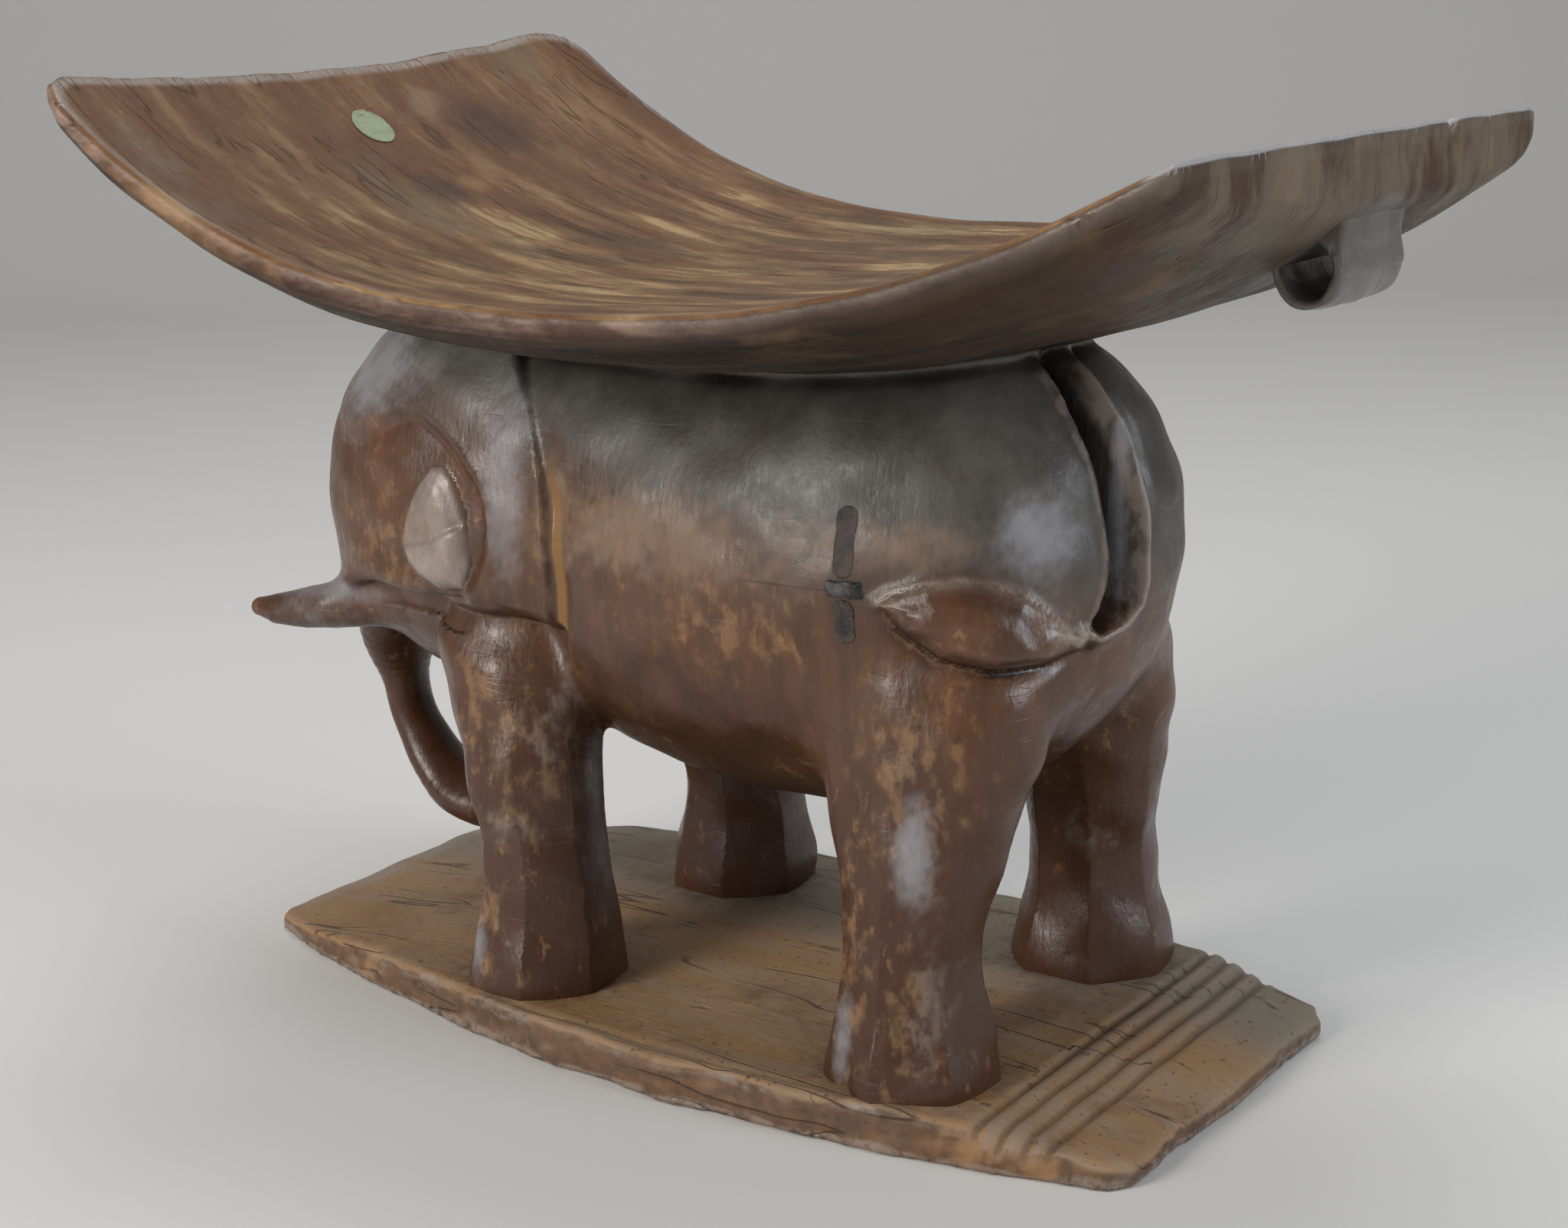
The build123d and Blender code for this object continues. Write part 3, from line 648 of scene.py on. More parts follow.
def face_relief(x, y, z):
    """How much is cut from the head for the face, less what the eye keeps."""
    carving = bpy.context.scene.stool_carving
    cut = np.zeros(x.shape)
    near = (x < -50) & (z > 168) & (z < 300)
    px, py, pz = x[near], np.abs(y[near]), z[near]
    depth = outline_depth(px, pz, FACE)
    soft = 7.5 + 8 * ease(-px, 130, 190) * ease(pz, 215, 245)
    front = (1 - 0.85 * ease(-px, 160, 215)) * (0.30 + 0.70 * ease(pz, 178, 206))
    face = carving.face_depth / MM * front * ease(depth, -2.0, soft)
    inside = outline_depth(px, pz, EYE)
    swell = 1 - (1 - np.clip(inside / 11.5, 0, 1)) ** 2
    crease = line_distance(px, pz, EYE_CREASE)
    above = ease(pz - (204 + (px + 138) * 0.34), -1.5, 2.5)
    facet = 1.6 * above * ease(inside, 1, 6)
    eye = (carving.eye_rise / MM + 0.8) * swell - facet
    eye = eye - dent(crease, 1.7, 1.5) * ease(inside, 0, 3)
    cut[near] = (face - np.where(inside > 0, eye, 0)) * ease(py, 0, 30)
    return cut


def under_ear(x, y, z):
    """How far the shoulder is cut back under the lip of the ear and the cheek."""
    gap = ear_lip(x) - 2.5 - z
    reach = ease(x, -176, -154) * (1 - ease(x, -64, -50)) * ease(np.abs(y), 34, 56)
    return 5.5 * ease(gap, -4.0, 2.0) * (1 - ease(gap, 3.0, 24.0)) * reach


def ear_groove_relief(x, y, z):
    """The groove between the ear's rear edge and the flank."""
    depth = bpy.context.scene.stool_carving.ear_groove / MM
    cut = np.zeros(x.shape)
    near = (x < -30) & (x > -110) & (np.abs(y) > 40) & (z > 165)
    pz = z[near]
    behind = x[near] - ear_rear(pz)
    wall = ease(behind, -2.0, 2.5) * (1 - ease(behind, 2.5, 18.0))
    cut[near] = depth * wall * ease(pz, 166, 178) * (1 - 0.75 * ease(pz, 236, 262))
    return cut


def rump_relief(x, y, z):
    """The channel beside the tail, the tail's crest and the leaf-shaped tuft."""
    carving = bpy.context.scene.stool_carving
    cut = np.zeros(x.shape)
    near = (x > 80) & (y < 45) & (z > 165)
    px, py, pz = x[near], y[near], z[near]
    at_back = ease(px, 118, 138)
    channel = outline_depth(py, pz, CHANNEL_OUTLINE)
    edge = line_distance(py, pz, BUTTOCK_EDGE)
    crest = line_distance(py, pz, TAIL_CREST)
    floor = ease(edge, 0.0, 4.0) * ease(crest, 0.5, 9.0)
    deep = carving.channel_depth / MM * (1 - 0.35 * ease(pz, 270, 305))
    relief = np.where(channel > 0, deep * floor, 0) * at_back
    beyond = ease(py, -12, -7) * ease(pz, 200, 222)
    gully = dent(crest - 9.5, 3.6, 2.2) * beyond
    lip = dent(edge - 2, 2.4, 1.3) * ease(-channel, 0, 2) * ease(-py, 14, 22)
    relief = relief + (gully - lip) * at_back
    along = leaf_view(px, py)
    leaf = leaf_depth(px, py, pz)
    swell = 1 - (1 - np.clip(leaf / 10, 0, 1)) ** 2.6
    slender = 1 - 0.45 * ease(along, 62, 84)
    top_edge = line_distance(along, pz, LEAF_TOP)
    foot_edge = line_distance(along, pz, LEAF_FOOT)
    beside = ease(-py, 18, 36)
    leaf_rise = carving.leaf_rise / MM * swell * slender * (0.66 + 0.34 * ease(top_edge, 3, 15))
    shade = dent(foot_edge, 5.0, 2.4) * ease(-leaf, 0, 2.5)
    relief = relief - (leaf_rise - shade) * beside
    tall = carving.crest_rise / MM * at_back
    ridge = tall * np.exp(-((crest / 3.9) ** 1.7)) * (1 - 0.55 * ease(-py, 34, 50))
    rim = dent(top_edge, 2.8, 2.3) * beside
    relief = relief - np.maximum(ridge, rim)
    cut[near] = relief
    return cut


# How far the left hind leg's facets are turned, and how softly the legs and trunk grow on.
LEFT_HIND_TURN = 1.2
FRONT_BLEND = 7.0
HIND_BLEND = 14.0
TRUNK_BLEND = 8.0
TUSK_BLEND = 10.0
TOE_CHIP = (94.5, -103.5, 30)
STRIP_X = 90.5
STRIP_HALF_WIDTH = 4.1
STRIP_DEPTH = 6
STRIP_PROUD = 0.40
STAPLE_X = 91.3
STAPLE_Z = 214.0
UPPER_STRIP = (218.0, 244.5)
LOWER_STRIP = (192.5, 210.0)


def strip_outline(x, z, foot, top):
    """Distance outside one long rounded strip on the flank."""
    reach = np.maximum(foot + STRIP_HALF_WIDTH - z, z - top + STRIP_HALF_WIDTH)
    return np.hypot(x - STRIP_X, np.maximum(reach, 0)) - STRIP_HALF_WIDTH


def body_masses(x, y, z):
    """Each mass of the animal by name, before they grow together."""
    return {
        "torso": torso_form(x, y, z),
        "head": join(head_form(x, y, z), jaw_form(x, y, z), 3.0),
        "trunk": trunk_form(x, y, z),
        "left_tusk": tusk_form(x, y, z, -1),
        "right_tusk": tusk_form(x, y, z, 1),
        "front_left_leg": leg_form(x, y, z, FRONT_LEG, -1, 0.6),
        "front_right_leg": leg_form(x, y, z, FRONT_LEG, 1, 2.1),
        "hind_left_leg": leg_form(x, y, z, LEFT_HIND_LEG, -1, LEFT_HIND_TURN),
        "hind_right_leg": leg_form(x, y, z, RIGHT_HIND_LEG, 1, 2.9),
    }


def body_waves(x, y, z):
    """The adze's marks all over the animal."""
    return bpy.context.scene.stool_carving.tool_marks / MM * tool_waves(x, y, z, 30, 21)


def body_form(x, y, z):
    """The whole animal: below 0 inside the wood."""
    masses = body_masses(x, y, z)
    form = masses["torso"]
    for leg in ("front_left_leg", "front_right_leg"):
        form = join(form, masses[leg], FRONT_BLEND)
    form = join(form + under_ear(x, y, z), masses["head"], 3.0)
    for leg in ("hind_left_leg", "hind_right_leg"):
        form = join(form, masses[leg], HIND_BLEND)
    form = join(form, masses["trunk"], TRUNK_BLEND)
    for tusk in ("left_tusk", "right_tusk"):
        form = join(form, masses[tusk], TUSK_BLEND)
    form = form + face_relief(x, y, z) + ear_groove_relief(x, y, z) + rump_relief(x, y, z)
    toe = np.hypot(x - TOE_CHIP[0], y - TOE_CHIP[1]) + np.maximum(z - TOE_CHIP[2], 0) * 0.6
    form = form + dent(toe, 4.0, 3.0) + body_waves(x, y, z)
    above = z - seat_underside(x, y)
    flared = np.maximum(join(form, 0.8 - above, 7.0), form - 20)
    return np.maximum(np.maximum(flared, above - 3.5), 15.5 - z)


# ---- turning a form into a mesh ---------------------------------------------------------------
# The grid is worked out in blocks of this many points a side, and closely only where the
# form says that the surface is within reach of the block's middle.
BLOCK = 4
BLOCK_REACH = 2.4
SAMPLING_ROUNDS = 24
SETTLING_ROUNDS = 3


def slope_of(form, points, step=0.25):
    """Direction and steepness of a form at each point."""
    x, y, z = points.T
    return np.stack(
        [
            form(x + step, y, z) - form(x - step, y, z),
            form(x, y + step, z) - form(x, y - step, z),
            form(x, y, z + step) - form(x, y, z - step),
        ],
        axis=1,
    ) / (2 * step)


def sampled(form, low, counts, cell):
    """The form's value at every grid point, worked out closely only near the surface."""
    blocks = [int(np.ceil(count / BLOCK)) for count in counts]
    shape = [count * BLOCK for count in blocks]
    side = BLOCK * cell
    middle = [low[i] + (np.arange(blocks[i]) + 0.5) * side for i in range(3)]
    grid = np.stack(np.meshgrid(*middle, indexing="ij"), axis=-1).reshape(-1, 3)
    coarse = form(*grid.T)
    values = np.repeat(coarse[:, None], BLOCK**3, axis=1).astype(np.float32)
    near = np.abs(coarse) < side * BLOCK_REACH
    offsets = (np.stack(np.meshgrid(*[np.arange(BLOCK)] * 3, indexing="ij"), -1) + 0.5) * cell
    offsets = offsets.reshape(-1, 3) - side / 2 - cell / 2
    places = (grid[near][:, None, :] + offsets[None]).reshape(-1, 3)
    rounds = np.array_split(places, SAMPLING_ROUNDS)
    close = np.concatenate([form(*part.T) for part in rounds])
    values[near] = close.reshape(-1, BLOCK**3)
    values = values.reshape(*blocks, BLOCK, BLOCK, BLOCK)
    return values.transpose(0, 3, 1, 4, 2, 5).reshape(shape)


def crossing_places(values):
    """In each grid cell, how many of its edges the surface crosses, and the sum of where."""
    shape = np.array(values.shape) - 1
    total = np.zeros((*shape, 3), np.float32)
    hits = np.zeros(tuple(shape), np.float32)

    def corner(start):
        return tuple(slice(first, first + size) for first, size in zip(start, shape))

    for axis in range(3):
        for first in (0, 1):
            for second in (0, 1):
                start = [first, second]
                start.insert(axis, 0)
                stop = list(start)
                stop[axis] = 1
                a, b = values[corner(start)], values[corner(stop)]
                crossed = (a < 0) != (b < 0)
                share = np.where(crossed, a / np.where(a == b, 1, a - b), 0)
                place = np.zeros((*shape, 3), np.float32)
                for i in range(3):
                    place[..., i] = start[i]
                place[..., axis] += share
                total += place * crossed[..., None]
                hits += crossed
    return hits, total


def crossing_faces(solid, number):
    """Four-sided faces out of the numbered cells around each edge that leaves the wood."""
    shape = number.shape
    faces = []
    for axis in range(3):
        other = [i for i in range(3) if i != axis]
        one = [slice(1, shape[i]) for i in range(3)]
        one[axis] = slice(0, shape[axis])
        near = solid[tuple(one)]
        two = list(one)
        two[axis] = slice(1, shape[axis] + 1)
        far = solid[tuple(two)]
        for inside_near in (True, False):
            where = np.argwhere((near != far) & (near == inside_near))
            where[:, other] += 1
            ring = []
            for back in ((1, 1), (0, 1), (0, 0), (1, 0)):
                spot = where.copy()
                spot[:, other] -= back
                ring.append(number[tuple(spot.T)])
            ring = np.stack(ring, axis=1)
            flip = inside_near != (axis != 1)
            faces.append(ring[:, ::-1] if flip else ring)
    return np.concatenate(faces)


def skin(form, low, high, cell):
    """Points, four-sided faces and normals of a form's closed surface."""
    low = np.array(low, float)
    counts = np.ceil((np.array(high) - low) / cell).astype(int) + 1
    values = sampled(form, low, counts, cell)
    hits, total = crossing_places(values)
    used = hits > 0
    number = np.full(used.shape, -1, int)
    number[used] = np.arange(used.sum())
    points = low + (np.argwhere(used) + total[used] / hits[used][:, None]) * cell
    faces = crossing_faces(values < 0, number)
    for _ in range(SETTLING_ROUNDS):
        lean = slope_of(form, points)
        steep = np.maximum((lean**2).sum(1), 0.04)
        shift = -(form(*points.T) / steep)[:, None] * lean
        size = np.linalg.norm(shift, axis=1, keepdims=True)
        points = points + shift * np.minimum(1, 0.45 * cell / np.maximum(size, 1e-9))
    lean = slope_of(form, points)
    normals = lean / np.maximum(np.linalg.norm(lean, axis=1, keepdims=True), 1e-9)
    return points, faces, normals


def mesh_piece(name, points, faces, material, normals=None):
    """A new object from points in millimetres, shaded by its normals if they are given."""
    mesh = bpy.data.meshes.new(name)
    mesh.from_pydata((points * MM).tolist(), [], [list(face) for face in faces])
    mesh.update()
    mesh.polygons.foreach_set("use_smooth", [True] * len(mesh.polygons))
    mesh.materials.append(material)
    if normals is not None:
        own = mesh.attributes.new("custom_normal", "FLOAT_VECTOR", "POINT")
        own.data.foreach_set("vector", normals.astype(np.float32).ravel())
    piece = bpy.data.objects.new(name, mesh)
    bpy.context.scene.collection.objects.link(piece)
    return piece


def finish_piece(piece, slot_name, node):
    """Let a piece ride on the stool and stand for its solid."""
    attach(piece, "root")
    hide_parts(node)


def skinned_piece(name, form, corners, cell, finish):
    """A closed piece from its form, between two corners of space, with its traits."""
    points, faces, normals = skin(form, *corners, cell)
    piece = mesh_piece(name, points, faces.tolist(), finish, normals)
    store_traits(piece, surface_traits(form, points, normals))
    return piece


# ---- which part of the animal a point belongs to ----------------------------------------------
BODY_PARTS = (
    "torso",
    "head",
    "trunk",
    "left_tusk",
    "right_tusk",
    "front_left_leg",
    "front_right_leg",
    "hind_left_leg",
    "hind_right_leg",
    "left_ear",
    "right_ear",
    "left_eye",
    "right_eye",
    "tail",
    "tail_tuft",
)
HEAD, TRUNK, LEFT_HIND, LEFT_EAR, LEFT_EYE, TAIL, TUFT = 1, 2, 7, 9, 11, 13, 14
TUSKS = slice(3, 5)
# The ears, eyes, tail and tuft are plates of this depth on the head or the torso.
FIRST_PLATE = LEFT_EAR
PLATE_DEPTH = 4.0
FEWEST_FACES = 12
PLATE_HOSTS = {"head": range(LEFT_EAR, TAIL), "torso": (TAIL, TUFT)}


def part_numbers(points):
    """The number in BODY_PARTS of each point on the animal's surface."""
    x, y, z = points.T
    masses = body_masses(x, y, z)
    shares = np.stack([masses[name] for name in BODY_PARTS[:FIRST_PLATE]])
    shares[TUSKS] += np.where(x > -196, 30, -4)
    shares[TRUNK] += np.where(z > 138, 30, 0)
    numbers = shares.argmin(axis=0)
    on_head = (numbers == HEAD) & (np.abs(y) > 42)
    below_seat = (z < 283 + (x + 90) * 0.5) & (z < 268 - (x + 96))
    ear = (x > -126) & (outline_depth(x, z, FACE) < -2.5) & (z > 177) & below_seat
    eye = outline_depth(x, z, EYE) > -2.0
    for place, left_number in ((ear, LEFT_EAR), (eye, LEFT_EYE)):
        for right in (0, 1):
            numbers[on_head & place & ((y > 0) == right)] = left_number + right
    behind = (x > 128) & (y < 10) & (z > 190) & (z < 290) & (numbers != LEFT_HIND)
    numbers[behind & (line_distance(y, z, TAIL_CREST) < 8.5)] = TAIL
    numbers[(x > 96) & (y < -26) & (leaf_depth(x, y, z) > -3.5)] = TUFT
    return numbers


def settle_numbers(faces, numbers, point_count):
    """Relabel faces until every part's edge is a clean ring."""
    for _ in range(12):
        changed = 0
        for part in range(len(BODY_PARTS)):
            mine = faces[numbers == part]
            if not len(mine):
                continue
            sides = np.stack([mine, np.roll(mine, -1, axis=1)], axis=-1).reshape(-1, 2)
            ordered = np.sort(sides, axis=1)
            keys = ordered[:, 0] * point_count + ordered[:, 1]
            found, times = np.unique(keys, return_counts=True)
            rim = found[times == 1]
            ends = np.concatenate([rim // point_count, rim % point_count])
            busy = np.bincount(ends, minlength=point_count) > 2
            touching = busy[faces].any(axis=1)
            if not touching.any():
                continue
            spots = np.where(touching)[0]
            here = faces[spots]
            for point in np.where(busy)[0]:
                around = spots[(here == point).any(axis=1)]
                kinds, votes = np.unique(numbers[around], return_counts=True)
                numbers[around] = kinds[votes.argmax()]
                changed += 1
        if not changed:
            break
    return numbers


def open_edges(faces, count):
    """The directed sides of faces that no other face shares."""
    sides = np.stack([faces, np.roll(faces, -1, axis=1)], axis=-1).reshape(-1, 2)
    forward = sides[:, 0] * count + sides[:, 1]
    back = sides[:, 1] * count + sides[:, 0]
    return sides[~np.isin(forward, back)]


def plate_backing(faces, count):
    """The back and the walls under a raised plate, facing out of the wood below it."""
    first, second = open_edges(faces, count).T
    walls = np.stack([first, second, second + count, first + count], axis=1)
    return np.concatenate([faces + count, walls])


def closing_fans(faces, points, normals):
    """A fan inside the wood from each open ring of a part."""
    count = len(points)
    following = {}
    for first, second in open_edges(faces, count).tolist():
        following.setdefault(first, []).append(second)
    apexes, fans = [], []
    while following:
        start = next(iter(following))
        ring, step = [start], following[start].pop()
        while step != start and following.get(step):
            ring.append(step)
            step = following[step].pop()
        following = {key: ends for key, ends in following.items() if ends}
        around = points[ring]
        middle = around.mean(axis=0)
        spread = np.linalg.norm(around - middle, axis=1).mean()
        level = (middle - around) * (1, 1, 0)
        reach = np.linalg.norm(level, axis=1, keepdims=True)
        level = level / np.maximum(reach, 1e-6) * np.minimum(16.0, reach * 0.6)
        inner = count + len(apexes)
        apexes += list(around + level)
        apexes.append(middle - normals[ring].mean(axis=0) * min(14.0, spread * 0.5))
        number = count + len(apexes) - 1
        size = len(ring)
        for place, (first, second) in enumerate(zip(ring, ring[1:] + ring[:1])):
            near, far = inner + place, inner + (place + 1) % size
            fans += [(second, first, near, far), (far, near, number)]
    return apexes, fans


def closed(points, faces, normals):
    """A part with fans inside the wood over its open rings."""
    apexes, fans = closing_fans(faces, points, normals)
    if apexes:
        points = np.concatenate([points, apexes])
        normals = np.concatenate([normals, [(0, 0, 1)] * len(apexes)])
    return points, faces.tolist() + fans, normals


def part_faces(part, faces, numbers, count):
    """One part's faces, backed where it is or holds a plate, and which way its backs face."""
    name = BODY_PARTS[part]
    mine = faces[numbers == part]
    if len(mine) < FEWEST_FACES:
        raise RuntimeError(f"the animal has no {name}")
    if part >= FIRST_PLATE:
        return np.concatenate([mine, plate_backing(mine, count)[:, ::-1]]), -1
    if name in PLATE_HOSTS:
        held = faces[np.isin(numbers, PLATE_HOSTS[name])]
        mine = np.concatenate([mine, plate_backing(held, count)])
    return mine, 1


def surface_traits(form, points, normals):
    """How hollow, how ridged and how upright the wood is at each point."""
    steep = np.maximum(np.linalg.norm(slope_of(form, points), axis=1), 0.2)
    outside = form(*(points + normals * 7).T) / steep
    inside = form(*(points - normals * 4).T) / steep
    return {
        "hollow": np.clip(1 - outside / 7, 0, 1),
        "ridge": np.clip(1 + inside / 4, 0, 1),
        "upward": normals[:, 2],
    }


def store_traits(piece, traits):
    """Keep each trait on the piece's points, for its finish."""
    for name, values in traits.items():
        trait = piece.data.attributes.new(name, "FLOAT", "POINT")
        padded = np.zeros(len(piece.data.vertices), np.float32)
        padded[: len(values)] = values
        trait.data.foreach_set("value", padded)


# One row each: the middle of a marked place and its reach along, across and up; some places are
# wear, some are painted highlights and sheen.
BARE_PLACES = (
    (39, -90, 196, 40, 60, 20),
    (-20, -88, 226, 26, 40, 16),
    (118, -88, 150, 26, 30, 40),
    (-96, -95, 150, 18, 30, 34),
    (-72, -95, 120, 16, 40, 30),
    (96, -95, 70, 14, 40, 40),
    (-90, -95, 50, 12, 40, 30),
    (-150, -80, 205, 40, 30, 26),
    (-60, -80, 218, 8, 30, 34),
    (120, -95, 45, 8, 40, 40),
    (-120, -70, 212, 14, 30, 12),
)
# pale scuffs, some of them painted highlights on the hind leg's edge and foot
SCUFF_AND_HIGHLIGHT_PLACES = (
    (-78, -97, 90, 15, 30, 9),
    (124, -92, 108, 9, 20, 22),
    (119, 60, 84, 10, 60, 12),
    (-165, -10, 74, 9, 20, 9),
    (46, -90, 226, 3, 20, 3),
    (-62, -84, 140, 10, 20, 26),
    (128, -90, 52, 6, 30, 26),
)
# places of tan wood with painted sheen on the flank
TAN_AND_SHEEN_PLACES = (
    (5, -90, 224, 80, 50, 20),
    (112, -90, 230, 46, 40, 12),
    (-52, -84, 224, 14, 30, 26),
)
# places of pale dust, and painted highlights on the dome, feet, hind leg and rump
PALE_AND_HIGHLIGHT_PLACES = (
    (-215, -54, 170, 42, 30, 7),
    (-176, -60, 278, 46, 70, 26),
    (-80, -84, 236, 12, 30, 44),
    (152, -24, 286, 5, 5, 22),
    (168, -18, 250, 4, 8, 46),
    (92, -104, 40, 7, 20, 20),
    (-94, -106, 38, 6, 20, 15),
    (122, -92, 116, 8, 20, 24),
    (155, -60, 235, 14, 30, 18),
    (-222, -52, 160, 26, 14, 14),
)
RAW_BREAKS = ((156, -103, 12, 16, 7, 12), (-172, -92, 8, 6, 5, 8), (178, -97, 6, 12, 6, 8))
# places around the feet for dirt and painted contact shade
FOOT_PLACES = [(along, out, 19, 44, 43, 20) for along in (-81, 108) for out in (71, -71)]
TRODDEN_PLACES = ((10, -72, 19, 72, 34, 20), (-160, -50, 17, 60, 46, 20))


def place_share(points, places, seed, rough=1.0):
    """How far each point lies in any of the given places, with ragged edges."""
    x, y, z = points.T
    ragged = 0.22 * tool_waves(x, y, z, 9, seed) + 0.16 * tool_waves(x, y, z, 3.5, seed + 1)
    ragged = ragged * rough
    best = np.zeros(len(points))
    for px, py, pz, along, across, up in places:
        gap = np.sqrt(((x - px) / along) ** 2 + ((y - py) / across) ** 2 + ((z - pz) / up) ** 2)
        best = np.maximum(best, 1 - ease(gap + ragged, 0.25, 1.20))
    return best


def tail_share(points, normals):
    """How near each point is to the top of the tail's crest."""
    x, y, z = points.T
    crest = line_distance(y, z, TAIL_CREST)
    top_edge = line_distance(leaf_view(x, y), z, LEAF_TOP)
    at_back, beside = ease(x, 118, 138), ease(-y, 18, 36) * (x > 80)
    facing_back = ease(normals[:, 0], 0.45, 0.85)
    on_crest = np.exp(-((crest / 4.2) ** 2)) * at_back * facing_back
    return np.maximum(on_crest, 0.6 * np.exp(-((top_edge / 1.7) ** 2)) * beside)


def channel_share(points):
    """How far each point lies in the channel beside the tail."""
    x, y, z = points.T
    return ease(outline_depth(y, z, CHANNEL_OUTLINE), 0, 4) * (x > 110)


# ---- finishes ---------------------------------------------------------------------------------
COLOUR_MIX_SOCKETS = (0, 6, 7)


class Finish:
    """The nodes of one finish, laid out in short steps."""

    def __init__(self, name):
        self.material = bpy.data.materials.new(name)
        self.material.use_nodes = True
        self.tree = self.material.node_tree
        self.shader = self.tree.nodes["Principled BSDF"]
        self.place = self.add("ShaderNodeTexCoord").outputs["Object"]
        self.along, self.across, self.height = self.add(
            "ShaderNodeSeparateXYZ", {0: self.place}
        ).outputs

    def add(self, kind, sockets=(), **settings):
        """A new node with its settings and sockets."""
        node = self.tree.nodes.new(kind)
        for setting, value in settings.items():
            setattr(node, setting, value)
        for socket, value in dict(sockets).items():
            self.feed(node.inputs[socket], value)
        return node

    def feed(self, socket, value):
        """Link a socket, or set it to a fixed value."""
        if isinstance(value, bpy.types.NodeSocket):
            self.tree.links.new(value, socket)
        elif socket.type == "RGBA":
            socket.default_value = (*value, 1)
        else:
            socket.default_value = value

    def math(self, kind, *values):
        """Values put together in one sum, in the kind's own order."""
        return self.add("ShaderNodeMath", enumerate(values), operation=kind).outputs[0]

    def product(self, first, *others):
        """Values multiplied together."""
        for other in others:
            first = self.math("MULTIPLY", first, other)
        return first

    def total(self, first, *others):
        """Values added together."""
        for other in others:
            first = self.math("ADD", first, other)
        return first

    def off(self, value, centre):
        """How far a value is from a centre, either way."""
        return self.math("ABSOLUTE", self.math("SUBTRACT", value, centre))

    def distance(self, place):
        """Distance from one place on the stool."""
        kind = "ShaderNodeVectorMath"
        return self.add(kind, {0: self.place, 1: place}, operation="DISTANCE").outputs["Value"]

    def fade(self, value, low, high, foot=0.0, top=1.0):
        """From foot to top while a value goes from low to high."""
        sockets = {"Value": value, "From Min": low, "From Max": high, "To Min": foot, "To Max": top}
        return self.add("ShaderNodeMapRange", sockets, interpolation_type="SMOOTHSTEP").outputs[0]

    def noise(self, scale, stretch=None, detail=5.0, rough=0.55):
        """Cloudy noise, which can be stretched along an axis."""
        place = self.place
        if stretch:
            place = self.add(
                "ShaderNodeVectorMath", {0: place, 1: stretch}, operation="MULTIPLY"
            ).outputs[0]
        sockets = {"Vector": place, "Scale": scale, "Detail": detail, "Roughness": rough}
        return self.add("ShaderNodeTexNoise", sockets).outputs[0]

    def lines(self, scale, stretch, width, sparse):
        """Thin broken lines, for scratches and fine cracks."""
        thin = self.fade(self.off(self.noise(scale, stretch, 2.0), 0.5), width, 0.0)
        return self.product(thin, self.fade(self.noise(22.0), sparse, sparse + 0.08))

    def mix(self, share, first, second):
        """Two colours mixed by a share."""
        node = self.add("ShaderNodeMix", data_type="RGBA")
        for socket, value in zip(COLOUR_MIX_SOCKETS, (share, first, second)):
            self.feed(node.inputs[socket], value)
        return node.outputs[2]

    def lay(self, under, tint, *shares):
        """A tint laid over a colour as far as all the shares say."""
        return self.mix(self.product(*shares), under, tint)

    def trait(self, name):
        """A trait stored on the piece's points."""
        return self.add("ShaderNodeAttribute", attribute_name=name).outputs["Fac"]

    def relief(self, fine, grain, lines, depths):
        """Soft pits and grain standing up, with the thin lines cut in."""
        pits, fibres, cuts = depths
        raised = self.total(self.product(fine, pits), self.product(grain, fibres))
        return self.math("SUBTRACT", raised, self.product(lines, cuts))

    def done(self, tint, roughness, relief, depth, sheen=0.5):
        """Connect the colour, the gloss and the fine relief."""
        bump = self.add("ShaderNodeBump", {"Height": relief, "Distance": depth, "Strength": 1.0})
        self.feed(self.shader.inputs["Base Color"], tint)
        self.feed(self.shader.inputs["Roughness"], roughness)
        self.feed(self.shader.inputs["Specular IOR Level"], sheen)
        self.tree.links.new(bump.outputs[0], self.shader.inputs["Normal"])
        return self.material


# The grey coat's lower edge runs level with this slope from head to tail.
COAT_SLOPE = 0.18
CRACK_HEIGHT = 0.2130
CRACK_MIDDLE = 0.0780


